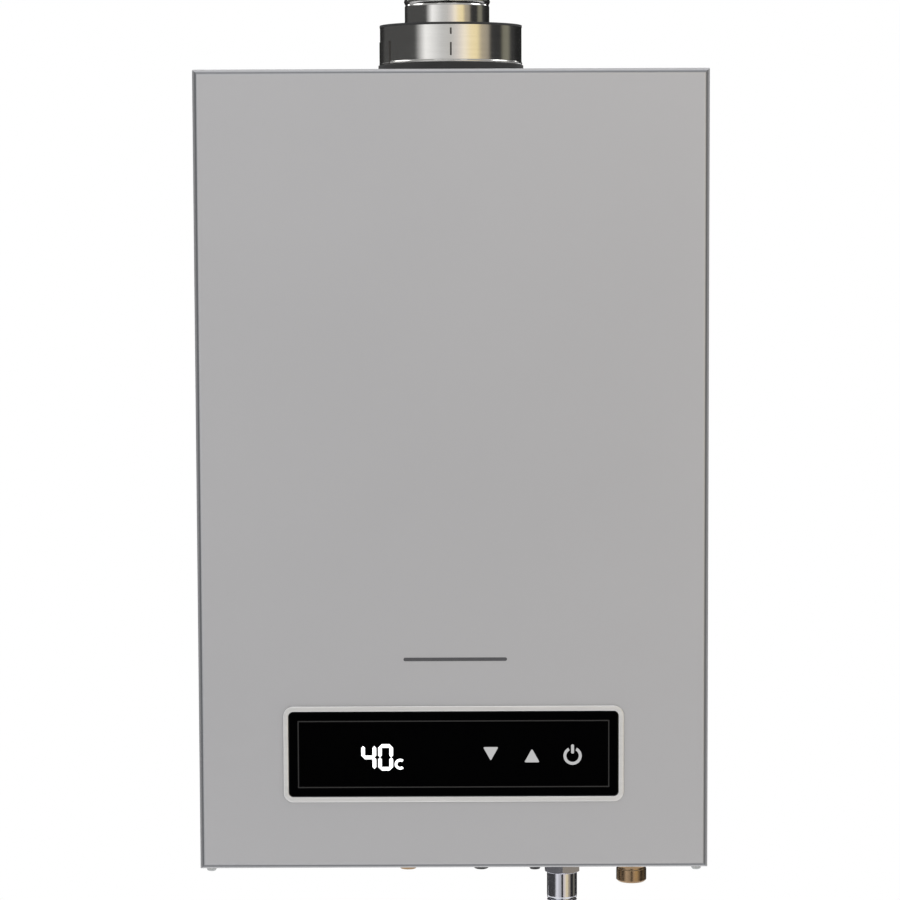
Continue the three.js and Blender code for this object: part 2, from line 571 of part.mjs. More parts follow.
function addShutoff() {
  const at = [COIL_X, COIL_Y];
  const top = VALVE.top + SOLENOID.height;
  const [width, depth] = [about(COIL_X, SOLENOID.halfWidth), about(COIL_Y, SOLENOID.halfDepth)];
  const bore = rod('z', SOLENOID.bore, [VALVE.top - LAP, top - SOLENOID.cap], at, 16);
  add('shutoff_coil', block(width, depth, [VALVE.top + GAP, top]).subtract(bore), 'blackPlastic');

  const guide = SOLENOID.bore - PLUNGER.play;
  const plungerTop = VALVE.top + PLUNGER.top;
  add('shutoff_plunger', turned([
    [0, VALVE.top - PLUNGER.low], [PLUNGER.disc, VALVE.top - PLUNGER.low],
    [PLUNGER.disc, VALVE.top - PLUNGER.discHigh], [PLUNGER.neck, VALVE.top - PLUNGER.discHigh],
    [PLUNGER.neck, VALVE.top - PLUNGER.neckHigh], [guide, VALVE.top - PLUNGER.neckHigh],
    [guide, plungerTop], [0, plungerTop],
  ], ...at, 16), 'steel');

  const room = shrink([plungerTop, top - SOLENOID.cap], GAP + SPRING.wire);
  const path = new Helix(...at, SPRING.radius, room, SPRING.turns);
  add('plunger_spring', swept(path, SPRING.wire, 40, 6), 'steel');
}

function addGasTail() {
  const tail = [[GAS.bore, VALVE.low - GAP], [GAS.radius, VALVE.low - GAP], [GAS.radius, 0]];
  for (let i = 0; i < GAS.barbCount; i += 1) {
    const z = -GAS.barb * i;
    tail.push([GAS.radius, z - GAS.barb * 0.7], [GAS.radius - GAS.barbDepth, z - GAS.barb]);
  }
  tail.push([GAS.radius - GAS.barbDepth, -GAS.reach], [GAS.bore, -GAS.reach]);
  add('gas_inlet_tail', turned(tail.reverse(), GAS_X, PIPE_Y, 20), 'brass');
}

// ---- Heat exchanger ----

function addShellAndFins() {
  const [span, depth] = [about(0, CORE_HALF), [CORE_FRONT, CORE_REAR]];
  const height = [SHELL_LOW, SHELL_HIGH];
  const inner = [shrink(span, COPPER_SHEET), shrink(depth, COPPER_SHEET)];
  let shell = block(span, depth, height).subtract(block(...inner, shrink(height, -REACH)));

  const [finSpan, finDepth] = inner.map((side) => shrink(side, GAP));
  const pitch = (finSpan[1] - finSpan[0]) / FIN_COUNT;
  let fins = block(finSpan, finDepth, about(FIN_Z, FIN_HEIGHT / 2));
  for (let i = 0; i < FIN_COUNT; i += 1) {
    const slot = about((i - (FIN_COUNT - 1) / 2) * pitch, pitch * FIN_SLOT.share);
    fins = fins.subtract(block(slot, shrink(finDepth, FIN_SLOT.inset), about(FIN_Z, FIN_HEIGHT)));
  }
  for (let i = 0; i < PASS_COUNT; i += 1) {
    const bore = rod('x', PASS_RADIUS + GAP, [-HALF, HALF], [passY(i), FIN_Z], 8);
    fins = fins.subtract(bore);
    shell = shell.subtract(bore);
  }
  for (const x of [-PROBE.side, PROBE.side]) {
    const through = [CORE_FRONT - LAP, CORE_FRONT + COPPER_SHEET + LAP];
    shell = shell.subtract(rod('y', PROBE.body + 0.5, through, [x, PROBE_Z], 12));
  }
  add('heat_exchanger_shell', shell, 'copper');
  add('fin_block', fins, 'copper');
}

// One tube through the fins, with a U-bend outside the shell between each two passes.
function addFinTubes() {
  const corners = [[TUBE_END, passY(0), FIN_Z]];
  for (let i = 0; i < PASS_COUNT - 1; i += 1) {
    const turn = (i % 2 === 0 ? -1 : 1) * (CORE_HALF + PASS_TURN);
    corners.push([turn, passY(i), FIN_Z], [turn, passY(i + 1), FIN_Z]);
  }
  corners.push([TUBE_END, passY(PASS_COUNT - 1), FIN_Z]);
  add('fin_tubes', swept(route(corners, PASS_PITCH / 2), PASS_RADIUS, 60), 'copper');
}

// The tube that cools the combustion chamber: turns round the shell, then up to the fins.
function addWaterCoil() {
  const [left, right] = about(0, CORE_HALF + COIL_STAND);
  const [front, rear] = [CORE_FRONT - COIL_STAND, CORE_REAR + COIL_STAND];
  const square = [[right, front], [left, front], [left, rear], [right, rear]];
  const corners = [[right, passY(1), COIL_START]];
  for (let i = 0; i < 4 * COIL_TURNS; i += 1) {
    corners.push([...square[i % 4], COIL_START + (COIL_PITCH * (i + 1)) / 4]);
  }
  const top = COIL_START + COIL_PITCH * COIL_TURNS;
  const riser = right + WATER_TUBE;
  corners.push(
    [right, passY(0) + PASS_PITCH - 2, top + 4], [riser, passY(0), top + PASS_PITCH],
    [riser, passY(0), FIN_Z], [TUBE_END + GAP, passY(0), FIN_Z],
  );
  add('water_coil', swept(route(corners, BEND), WATER_TUBE, 92), 'copper');
}

function addWaterPipes() {
  const right = CORE_HALF + COIL_STAND;
  const coldX = COLD_X + 8;
  const joinY = passY(1);
  const joinZ = COIL_START - BEND;
  const cold = route([
    [COLD_X, PIPE_Y, WATER_BODY.top + GAP], [COLD_X, PIPE_Y, WATER_BODY.top + 12],
    [coldX, joinY, WATER_BODY.top + 40], [coldX, joinY, joinZ], [right, joinY + 2, joinZ],
    [right, joinY + 1, COIL_START - WATER_TUBE - GAP],
  ], BEND);
  add('cold_pipe', swept(cold, WATER_TUBE, 32), 'copper');

  const hotY = passY(PASS_COUNT - 1);
  const hotX = CORE_HALF + 26;
  const hot = route([
    [HOT_X, PIPE_Y, HOT.top + GAP], [HOT_X, PIPE_Y, 44], [HOT_X, hotY, 72], [hotX, hotY, 92],
    [hotX, hotY, FIN_Z], [TUBE_END + GAP, hotY, FIN_Z],
  ], BEND);
  add('hot_pipe', swept(hot, WATER_TUBE, 44), 'copper');
}

// ---- Hood and fan ----

function addHood() {
  const wide = about(FAN_X, FAN_RADIUS + HOOD.side);
  const [front, back] = [FAN_BACK + GAP, BACK_INSIDE - HOOD.backRoom];
  const top = HOOD_LOW + HOOD_HEIGHT;
  const span = about(0, CORE_HALF - HOOD.inset);
  const below = HOOD_LOW - LAP;
  const inside = (side) => shrink(side, COPPER_SHEET);
  let hood = block(span, [CORE_FRONT, back], [HOOD_LOW, top]);
  hood = hood.add(block(wide, [front, back], [HOOD_LOW, FAN_TOP]));
  hood = hood.subtract(block(inside(span), inside([CORE_FRONT, back]), [below, top - COPPER_SHEET]));
  hood = hood.subtract(block(inside(wide), inside([front, back]), [below, FAN_TOP - COPPER_SHEET]));
  const eye = [front - LAP, front + COPPER_SHEET + LAP];
  add('flue_hood', hood.subtract(rod('y', EYE_RADIUS, eye, [FAN_X, FAN_Z], 24)), 'zinc');
}

// The scroll seen from the front: a circle whose left side runs straight up to the outlet.
function scrollOutline(inset) {
  const radius = FAN_RADIUS - inset;
  const right = EXHAUST_OFFSET + DUCT_RADIUS - inset;
  const left = FAN_X - radius;
  const lift = Math.sqrt(radius * radius - (right - FAN_X) ** 2);
  const start = Math.atan2(lift, right - FAN_X);
  return new THREE.Shape()
    .moveTo(left, FAN_Z)
    .lineTo(left, FAN_TOP - inset)
    .lineTo(right, FAN_TOP - inset)
    .lineTo(right, FAN_Z + lift)
    .absarc(FAN_X, FAN_Z, radius, start, -Math.PI, true);
}

function addScroll() {
  const duct = [FAN_TOP - FAN_SHEET, FAN_TOP + DUCT_RISE];
  const at = [EXHAUST_OFFSET, FLUE_Y];
  const hollow = prism(scrollOutline(FAN_SHEET), 'y', [FAN_FRONT - LAP, FAN_BACK - FAN_SHEET], 16);
  const eye = [FAN_BACK - FAN_SHEET - LAP, FAN_BACK + LAP];
  let scroll = prism(scrollOutline(0), 'y', [FAN_FRONT, FAN_BACK], 16).subtract(hollow);
  scroll = scroll.add(rod('z', DUCT_RADIUS, duct, at, 32));
  scroll = scroll.subtract(rod('z', DUCT_RADIUS - FAN_SHEET, shrink(duct, -REACH), at, 32));
  add('fan_scroll', scroll.subtract(rod('y', EYE_RADIUS, eye, [FAN_X, FAN_Z], 24)), 'zinc');

  const lid = [FAN_FRONT - GAP - SCROLL_COVER.sheet, FAN_FRONT - GAP];
  const hole = rod('y', SCROLL_COVER.hole, shrink(lid, -LAP), [FAN_X, FAN_Z], 16);
  add('fan_scroll_cover', prism(scrollOutline(0), 'y', lid, 16).subtract(hole), 'zinc');
}

const MOTOR_BACK = FAN_FRONT - GAP - SCROLL_COVER.sheet - MOTOR.postLength;
const WHEEL_FRONT = FLUE_Y - IMPELLER_DEPTH / 2;
const WHEEL_BACK = FLUE_Y + IMPELLER_DEPTH / 2;

function addMotor() {
  const at = [FAN_X, FAN_Z];
  const front = MOTOR_BACK - MOTOR.depth;
  let motor = rod('y', MOTOR_RADIUS, [front, MOTOR_BACK], at, 24);
  motor = motor.add(rod('y', MOTOR.boss, [front - MOTOR.bossDepth, front + LAP], at, 16));
  for (let i = 0; i < 4; i += 1) {
    const angle = ((i + 0.5) * Math.PI) / 2;
    const [dx, dz] = [MOTOR.postRing * Math.cos(angle), MOTOR.postRing * Math.sin(angle)];
    const post = [MOTOR_BACK - LAP, MOTOR_BACK + MOTOR.postLength - GAP];
    motor = motor.add(rod('y', MOTOR.post, post, [FAN_X + dx, FAN_Z + dz], 8));
  }
  const bore = rod('y', SHAFT.radius + 0.5, [MOTOR_BACK - MOTOR.bore, MOTOR_BACK + LAP], at, 16);
  add('fan_motor', motor.subtract(bore), 'blackPlastic');
  const shaft = [MOTOR_BACK - SHAFT.inMotor, WHEEL_FRONT + SHAFT.inWheel];
  add('fan_shaft', rod('y', SHAFT.radius, shaft, at, 16), 'steel');
}

function addImpeller() {
  const at = [FAN_X, FAN_Z];
  const rim = [WHEEL_BACK - IMPELLER.sheet, WHEEL_BACK];
  const inner = rod('y', IMPELLER_RADIUS - IMPELLER.rim, shrink(rim, -LAP), at, 24);
  let wheel = rod('y', IMPELLER_RADIUS, [WHEEL_FRONT, WHEEL_FRONT + IMPELLER.sheet], at, 24);
  wheel = wheel.add(rod('y', IMPELLER.hub, [WHEEL_FRONT, WHEEL_FRONT + IMPELLER.hubDepth], at, 16));
  wheel = wheel.add(rod('y', IMPELLER_RADIUS, rim, at, 24).subtract(inner));
  for (let i = 0; i < BLADE_COUNT; i += 1) {
    const blade = new THREE.BoxGeometry(IMPELLER.blade, IMPELLER_DEPTH - 1, IMPELLER.bladeSheet);
    blade.rotateY(IMPELLER.bladeLean);
    blade.translate(IMPELLER_RADIUS - IMPELLER.blade * 0.6, FLUE_Y, 0);
    blade.rotateY((2 * Math.PI * i) / BLADE_COUNT);
    blade.translate(FAN_X, 0, FAN_Z);
    wheel = wheel.add(solidOf(blade));
  }
  const bore = rod('y', SHAFT.radius + GAP, [WHEEL_FRONT - LAP, WHEEL_BACK + LAP], at, 16);
  add('fan_impeller', wheel.subtract(bore), 'castAluminium');
}

// ---- Water connections ----

function addColdInlet() {
  const low = -COLD.reach;
  add('cold_inlet_fitting', turned([
    [COLD.bore, low], [COLD.radius - COLD.chamfer, low], [COLD.radius, low + COLD.chamfer],
    [COLD.radius, COLD.top], [COLD.bore, COLD.top],
  ], COLD_X, PIPE_Y, 28), 'brass');

  const at = [COLD_X, PIPE_Y];
  const radius = COLD.bore - GAP;
  const hollow = rod('z', radius - FILTER.wall, [FILTER.wall - FILTER.low, FILTER.high + LAP], at, 16);
  const [narrow, wide] = [FILTER.slotHalf, COLD.radius];
  const slots = [-FILTER.slotLow, FILTER.slotHigh];
  const filter = rod('z', radius, [-FILTER.low, FILTER.high], at, 16).subtract(hollow)
    .subtract(block(about(COLD_X, wide), about(PIPE_Y, narrow), slots))
    .subtract(block(about(COLD_X, narrow), about(PIPE_Y, wide), slots));
  add('inlet_filter', filter, 'whitePlastic');
}

function addWaterValve() {
  const at = [COLD_X, PIPE_Y];
  const low = COLD.top + GAP;
  const width = [COLD_X - WATER_BODY.left, COLD_X + WATER_BODY.right];
  const depth = [PIPE_Y - WATER_BODY.front, PIPE_Y + WATER_BODY.back];
  const shoulder = WATER_BODY.top - WATER_BODY.shoulder;
  const chamber = [low + 4, shoulder - 2];
  let body = block(width, depth, [low, shoulder]);
  body = body.add(rod('z', WATER_BODY.neck, [shoulder - LAP, WATER_BODY.top], at, 20));
  body = body.subtract(rod('z', ROTOR.bore, chamber, at, 20));
  body = body.subtract(rod('z', WATER_TUBE, [low - LAP, WATER_BODY.top + LAP], at, 16));
  add('water_valve_body', body, 'brass');

  const height = [low + ROTOR.low, WATER_BODY.top - ROTOR.high];
  let rotor = rod('z', ROTOR.hub, height, at, 12);
  for (let i = 0; i < ROTOR.vanes; i += 1) {
    const vane = new THREE.BoxGeometry(ROTOR.vane, ROTOR.vaneSheet, height[1] - height[0] - 2 * LAP);
    vane.translate(ROTOR.hub + ROTOR.vane * 0.4, 0, (height[0] + height[1]) / 2);
    vane.rotateZ((2 * Math.PI * i) / ROTOR.vanes);
    vane.translate(COLD_X, PIPE_Y, 0);
    rotor = rotor.add(solidOf(vane));
  }
  add('flow_rotor', rotor, 'bluePlastic');
}

function addHotOutlet() {
  const low = -HOT.reach;
  const threadTop = low + HOT.threadLength;
  add('hot_outlet_nipple', turned([
    [HOT.bore, low], [HOT.thread - 1, low], [HOT.thread, low + 1], [HOT.thread, threadTop],
    [HOT.radius, threadTop + 0.6], [HOT.radius, HOT.top], [HOT.bore, HOT.top],
  ], HOT_X, PIPE_Y, 28), 'chrome');
  const nut = prism(hexagon(HOT_NUT.acrossFlats, HOT_X, PIPE_Y), 'z', [-HOT_NUT.drop, COVER_SHEET]);
  const bore = [-HOT_NUT.drop - REACH, COVER_SHEET + REACH];
  add('hot_outlet_nut', nut.subtract(rod('z', HOT.radius + GAP, bore, [HOT_X, PIPE_Y], 28)), 'chrome');
}

function addDrain() {
  const at = [DRAIN_X, PIPE_Y];
  const stemRadius = DRAIN.radius - 1 - GAP;
  const tubeY = PIPE_Y + COCK.tubeBack;
  const tube = [DRAIN_X + 5, COLD_X - WATER_BODY.left - GAP];
  const depth = [PIPE_Y - COCK.half, tubeY + COCK.depth];
  let cock = block(about(DRAIN_X, COCK.half), depth, [FLOOR + GAP, COCK.top]);
  cock = cock.add(rod('x', COCK.tube, tube, [tubeY, COCK.tubeZ], 10));
  cock = cock.subtract(rod('z', stemRadius + GAP, [FLOOR - LAP, COCK.well], at, 16));
  add('drain_cock_body', cock, 'brass');

  let knob = rod('z', DRAIN.radius, [-DRAIN.reach, -DRAIN.collar], at, 20);
  knob = knob.add(rod('z', stemRadius, [-DRAIN.collar - LAP, DRAIN.stem], at, 16));
  for (let i = 0; i < DRAIN.flutes; i += 1) {
    const angle = (2 * Math.PI * i) / DRAIN.flutes;
    const x = DRAIN_X + DRAIN.radius * Math.cos(angle);
    const y = PIPE_Y + DRAIN.radius * Math.sin(angle);
    knob = knob.subtract(rod('z', DRAIN.flute, [-DRAIN.reach - LAP, -DRAIN.collar - 2], [x, y], 8));
  }
  add('drain_knob', knob, 'blackPlastic');
}

function addCableGland() {
  const low = -GLAND.reach;
  const high = CHASSIS_LOW - GAP;
  add('cable_gland', turned([
    [GLAND.bore, low], [GLAND.radius - 0.8, low], [GLAND.radius, low + GLAND.chamfer],
    [GLAND.radius, -GLAND.flangeDepth], [GLAND.flange, -GLAND.flangeDepth], [GLAND.flange, high],
    [GLAND.radius, high], [GLAND.radius, FLOOR + GLAND.top], [GLAND.bore, FLOOR + GLAND.top],
  ], GLAND_X, PIPE_Y, 20), 'blackPlastic');
}

// ---- Electrics ----

function addControlBox() {
  const span = [BOX.side - PLATE_HALF, -CORE_HALF - COIL_STAND - WATER_TUBE - BOX.side];
  const height = [BOX.low, FIN_Z - BOX.belowFins];
  const front = ELECTRICS_Y - BOX.depth;
  const hollowDepth = [front - LAP, ELECTRICS_Y - BOX.wall];
  const hollow = block(shrink(span, BOX.wall), hollowDepth, shrink(height, BOX.wall));
  add('control_box_base', block(span, [front, ELECTRICS_Y], height).subtract(hollow), 'greyPlastic');
  add('control_box_lid', block(span, [front - GAP - BOX.wall, front - GAP], height), 'greyPlastic');

  const back = ELECTRICS_Y - BOARD.back;
  const boardHeight = shrink(height, BOX.wall + BOARD.endInset);
  const middle = (span[0] + span[1]) / 2;
  let board = block(shrink(span, BOX.wall + BOARD.inset), [back - BOARD.sheet, back], boardHeight);
  for (let i = 0; i < BLOCKS.count; i += 1) {
    const z = boardHeight[0] + BLOCKS.first + i * BLOCKS.pitch;
    const partDepth = [back - BLOCKS.depth, back - LAP];
    board = board.add(block(about(middle, BLOCKS.half), partDepth, [z, z + BLOCKS.height]));
  }
  add('main_board', board, 'circuitBoard');
}

function addSuppliesAndSwitches() {
  const left = BOX.side - PLATE_HALF;
  const width = [left, left + TRANSFORMER.width];
  const back = ELECTRICS_Y - TRANSFORMER.back;
  const depth = [back - TRANSFORMER.depth, back];
  const height = [TRANSFORMER.low, TRANSFORMER.high];
  const core = block(width, depth, height);
  const windingWidth = shrink(width, TRANSFORMER.winding);
  const windingHeight = shrink(height, TRANSFORMER.windingInset);
  const winding = block(windingWidth, shrink(depth, -TRANSFORMER.windingProud), windingHeight);
  add('transformer', core.add(winding), 'steel');

  const sparkSpan = [COLD_X + WATER_BODY.right + 1, PLATE_HALF - 2];
  const sparkFront = ELECTRICS_Y - 2 - IGNITER.depth;
  const generator = block(sparkSpan, [sparkFront, ELECTRICS_Y - 2], [IGNITER.low, IGNITER.high]);
  const postAt = [(sparkSpan[0] + sparkSpan[1]) / 2, IGNITER.low + IGNITER.postRise];
  const post = rod('y', IGNITER.post, [sparkFront - IGNITER.postLength, sparkFront + LAP], postAt, 12);
  add('spark_generator', generator.add(post), 'blackPlastic');

  const x = CORE_HALF + AIR_SWITCH.side;
  const switchFront = ELECTRICS_Y - ELECTRICS_BACK - AIR_SWITCH.depth;
  const nose = [switchFront - AIR_SWITCH.portLength, switchFront + LAP];
  const terminalAt = [about(x + 8, AIR_SWITCH.terminal), about(FAN_Z - 8, AIR_SWITCH.terminal)];
  const capsule = rod('y', AIR_SWITCH.radius, [switchFront, ELECTRICS_Y - ELECTRICS_BACK], [x, FAN_Z], 24);
  const port = rod('y', AIR_SWITCH.port, nose, [x - 10, FAN_Z + 8], 10);
  const terminal = block(terminalAt[0], [nose[0] + 4, nose[1]], terminalAt[1]);
  add('air_pressure_switch', capsule.add(port).add(terminal), 'whitePlastic');

  const discX = CORE_HALF * THERMOSTAT.share;
  const discZ = FIN_Z - FIN_HEIGHT;
  const discFront = CORE_FRONT - THERMOSTAT.depth;
  const disc = rod('y', THERMOSTAT.radius, [discFront, CORE_FRONT - GAP], [discX, discZ], 16);
  const tabDepth = [discFront - THERMOSTAT.tabLength, discFront + LAP];
  const tab = block(about(discX, THERMOSTAT.tab), tabDepth, about(discZ, THERMOSTAT.tabHalf));
  add('overheat_thermostat', disc.add(tab), 'steel');
}

// ---- Front cover and its panel ----

function bentBox(inset) {
  const radius = BEND_RADIUS - inset;
  const [front, back] = [FRONT + inset, BACK + (inset > 0 ? REACH : 0)];
  const [side, low, high] = [HALF - inset, inset, CASE_HEIGHT - inset];
  const plan = new THREE.Shape()
    .moveTo(-side, back)
    .lineTo(-side, front + radius)
    .absarc(-side + radius, front + radius, radius, Math.PI, 1.5 * Math.PI)
    .absarc(side - radius, front + radius, radius, -0.5 * Math.PI, 0)
    .lineTo(side, back);
  const profile = new THREE.Shape()
    .moveTo(back, low)
    .lineTo(back, high)
    .lineTo(front + radius, high)
    .absarc(front + radius, high - radius, radius, 0.5 * Math.PI, Math.PI)
    .absarc(front + radius, low + radius, radius, Math.PI, 1.5 * Math.PI);
  return prism(plan, 'z', [low, high], 3).intersect(prism(profile, 'x', [-side, side], 3));
}

function panel(halfWidth, halfHeight, corner, depth) {
  const [low, high] = about(GLASS_MIDDLE_Z, halfHeight);
  return prism(roundedRectangle(-halfWidth, halfWidth, low, high, corner), 'y', depth);
}

const [GLASS_HALF_WIDTH, GLASS_HALF_HEIGHT] = [GLASS_WIDTH / 2, GLASS_HEIGHT / 2];

// A panel-shaped solid that is larger than the glass by grow on every side.
function roundTheGlass(grow, corner, depth) {
  return panel(GLASS_HALF_WIDTH + grow, GLASS_HALF_HEIGHT + grow, corner, depth);
}

function addFrontCover() {
  const inside = about(0, HALF - COVER_SHEET);
  const behindLip = [FRONT + COVER_LIP, BACK + REACH];
  const neck = BEZEL_NECK + 2 * GAP;
  const slit = CASE_HEIGHT - SLIT.drop;
  const slitDepth = [FRONT + BEND_RADIUS, FRONT + BEND_RADIUS + SLIT.length];
  let cover = bentBox(0).subtract(bentBox(COVER_SHEET));
  for (const level of [0, CASE_HEIGHT]) {
    cover = cover.subtract(block(inside, behindLip, about(level, COVER_SHEET + REACH)));
  }
  cover = cover.subtract(roundTheGlass(neck, GLASS_CORNER, [FRONT - REACH, COVER_INSIDE + REACH]));
  for (const side of [-1, 1]) {
    const wall = ordered(side * (HALF + LAP), side * (HALF - COVER_SHEET - GAP));
    cover = cover.subtract(block(wall, slitDepth, about(slit, SLIT.width / 2)));
    const hole = [-LAP, COVER_SHEET + LAP];
    cover = cover.subtract(rod('z', SCREW.shank + GAP, hole, [side * SCREW_X, SCREW_Y], 16));
  }
  add('front_cover', cover, 'silverPaint');
}

function addBezelAndGlass() {
  const front = FRONT - BEZEL_PROUD;
  const back = COVER_INSIDE + BEZEL_BEHIND;
  const face = front + GLASS_SUNK;
  const seat = face + GLASS_THICKNESS + GAP;
  let bezel = roundTheGlass(BEZEL_FLANGE, GLASS_CORNER + BEZEL_FLANGE, [front, FRONT - GAP]);
  bezel = bezel.add(roundTheGlass(BEZEL_NECK + GAP, GLASS_CORNER, [FRONT - 2 * GAP, back]));
  bezel = bezel.subtract(roundTheGlass(GAP, GLASS_CORNER, [front - LAP, seat]));
  bezel = bezel.subtract(roundTheGlass(-BEZEL_LEDGE, GLASS_CORNER, [front, back + LAP]));
  add('panel_bezel', bezel, 'satinMetal');
  add('panel_glass', roundTheGlass(0, GLASS_CORNER, [face, face + GLASS_THICKNESS]), 'blackGlass');
}

function addDisplay() {
  const front = COVER_INSIDE + BEZEL_BEHIND + GAP;
  const back = front + DISPLAY.depth;
  const wall = 1 + DISPLAY.wall;
  const hollow = roundTheGlass(-wall, GLASS_CORNER, [front - LAP, back - DISPLAY.wall]);
  add('display_housing', roundTheGlass(-1, GLASS_CORNER, [front, back]).subtract(hollow), 'blackPlastic');

  const boardFront = front + DISPLAY.boardBack;
  const middle = -GLASS_HALF_WIDTH / 2;
  const digitSpan = [middle - DIGIT_BLOCK.left, middle + DIGIT_BLOCK.right];
  const digitDepth = [boardFront + GAP - DIGIT_BLOCK.depth, boardFront + LAP];
  const digits = block(digitSpan, digitDepth, about(GLASS_MIDDLE_Z, DIGIT_BLOCK.half));
  const board = roundTheGlass(-DISPLAY.boardInset, GLASS_CORNER, [boardFront, boardFront + DISPLAY.board]);
  add('display_board', board.add(digits), 'circuitBoard');
}

function addCoverScrews() {
  for (const [side, name] of [[-1, 'cover_screw_left'], [1, 'cover_screw_right']]) {
    const at = [side * SCREW_X, SCREW_Y];
    const head = rod('z', SCREW.head, [-SCREW.headLow, -GAP], at, 18);
    const shank = rod('z', SCREW.shank, [-GAP - LAP, FLOOR + 0.2], at, 12);
    const slotHeight = about(-SCREW.headLow, SCREW.slot);
    const slot = block(about(at[0], SCREW.head + LAP), about(at[1], SCREW.slot / 2), slotHeight);
    add(name, head.add(shank).subtract(slot), 'steel');
  }
}

addWallBracket();
addLowerSpacers();
addChassisBack();
addTopPlate();
addBottomPlate();
addCoverSeal();
addFlue();
addBurnerTray();
addBurnerBlades();
addProbe('spark_electrode', -PROBE.side);
addProbe('flame_sensor', PROBE.side);
addGasValve();
addManifold();
addShutoff();
addGasTail();
addShellAndFins();
addFinTubes();
addWaterCoil();
addWaterPipes();
addHood();
addScroll();
addMotor();
addImpeller();
addColdInlet();
addWaterValve();
addHotOutlet();
addDrain();
addCableGland();
addControlBox();
addSuppliesAndSwitches();
addFrontCover();
addBezelAndGlass();
addDisplay();
addCoverScrews();

export default heater;
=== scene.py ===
"""Looks for a wall-hung, room-sealed gas water heater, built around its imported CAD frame."""
import json
import math

import bmesh
import bpy
import numpy as np
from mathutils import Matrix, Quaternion, Vector


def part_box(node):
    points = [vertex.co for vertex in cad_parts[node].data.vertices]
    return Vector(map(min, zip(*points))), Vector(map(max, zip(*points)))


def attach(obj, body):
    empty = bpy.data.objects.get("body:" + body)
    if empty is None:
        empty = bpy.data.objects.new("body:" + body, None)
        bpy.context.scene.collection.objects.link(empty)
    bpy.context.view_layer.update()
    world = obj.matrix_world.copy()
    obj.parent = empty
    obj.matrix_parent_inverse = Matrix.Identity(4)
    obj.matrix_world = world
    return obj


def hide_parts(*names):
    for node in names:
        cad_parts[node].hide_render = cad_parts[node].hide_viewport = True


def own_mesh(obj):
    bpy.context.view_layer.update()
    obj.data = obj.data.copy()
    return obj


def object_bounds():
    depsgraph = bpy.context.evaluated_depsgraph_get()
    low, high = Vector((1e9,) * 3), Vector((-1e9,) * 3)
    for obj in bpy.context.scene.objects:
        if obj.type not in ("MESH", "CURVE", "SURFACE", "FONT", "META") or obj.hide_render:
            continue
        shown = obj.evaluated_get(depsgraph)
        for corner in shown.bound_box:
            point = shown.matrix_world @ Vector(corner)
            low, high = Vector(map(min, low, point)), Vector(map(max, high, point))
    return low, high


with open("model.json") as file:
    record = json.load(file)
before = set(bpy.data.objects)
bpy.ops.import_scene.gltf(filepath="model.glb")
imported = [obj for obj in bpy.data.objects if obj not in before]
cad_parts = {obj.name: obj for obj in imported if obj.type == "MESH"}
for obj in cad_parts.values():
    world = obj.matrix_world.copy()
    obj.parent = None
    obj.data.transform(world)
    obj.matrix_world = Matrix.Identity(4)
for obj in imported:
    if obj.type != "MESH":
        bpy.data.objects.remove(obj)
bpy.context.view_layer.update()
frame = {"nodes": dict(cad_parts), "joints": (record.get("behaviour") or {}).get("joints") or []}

MM = 0.001

# ---- Camera ----
# A long lens about two metres in front of the casing, a little above its middle and looking
# slightly down, so that the top of the casing is seen edge-on and the flue runs out of view.

casing_low, casing_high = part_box("front_cover")
CAMERA_DISTANCE = 2.0
CAMERA_ELEVATION = math.radians(4.75)
CAMERA_ROLL = math.radians(-0.22)
CAMERA_LENS = 119.1
aim = Vector((-0.0016, casing_low[1], casing_low[2] + 0.2855))
toward_camera = Vector((0, -math.cos(CAMERA_ELEVATION), math.sin(CAMERA_ELEVATION)))
camera = bpy.data.objects.new("camera", bpy.data.cameras.new("camera"))
bpy.context.collection.objects.link(camera)
camera.data.lens = CAMERA_LENS
camera.data.sensor_width = 36
camera.location = aim + toward_camera * CAMERA_DISTANCE
camera.rotation_mode = "QUATERNION"
look = (-toward_camera).to_track_quat("-Z", "Y")
camera.rotation_quaternion = look @ Quaternion((0, 0, 1), CAMERA_ROLL)
bpy.context.scene.camera = camera
bpy.context.scene.view_settings.view_transform = "Standard"

# ---- Studio ----
# A white surround, a pale floor well below the heater, and soft boxes that stand above the
# line of sight to the glass, so that the bright flue pipes mirror them and the glass doesn't.


def soft_box(name, azimuth, elevation, distance, size, power, mirrored=True):
    """An area light on a sphere round the casing, facing its middle. Polished metal shows it
    only if mirrored is true; in front it shows the screens of the surround instead."""
    data = bpy.data.lights.new(name, "AREA")
    data.shape = "RECTANGLE"
    data.size, data.size_y = size
    data.energy = power
    light = bpy.data.objects.new(name, data)
    bpy.context.collection.objects.link(light)
    light.visible_glossy = mirrored
    a, e = math.radians(azimuth), math.radians(elevation)
    middle = Vector((0, -0.08, -0.1))
    away = Vector((math.sin(a) * math.cos(e), -math.cos(a) * math.cos(e), math.sin(e)))
    light.location = middle + away * distance
    light.rotation_mode = "QUATERNION"
    light.rotation_quaternion = away.to_track_quat("Z", "Y")


soft_box("front_left_box", -28, 24, 2.6, (1.6, 1.6), 12, mirrored=False)
soft_box("front_right_box", 34, 24, 2.6, (1.6, 1.6), 16, mirrored=False)
soft_box("top_box", 0, 75, 2.4, (1.8, 1.8), 14)
soft_box("left_box", -100, 42, 2.7, (1.2, 1.0), 14)
soft_box("right_box", 100, 42, 2.7, (1.2, 1.0), 14)
soft_box("back_left_box", -150, 32, 2.8, (1.3, 1.0), 18)
soft_box("back_right_box", 150, 32, 2.8, (1.3, 1.0), 18)

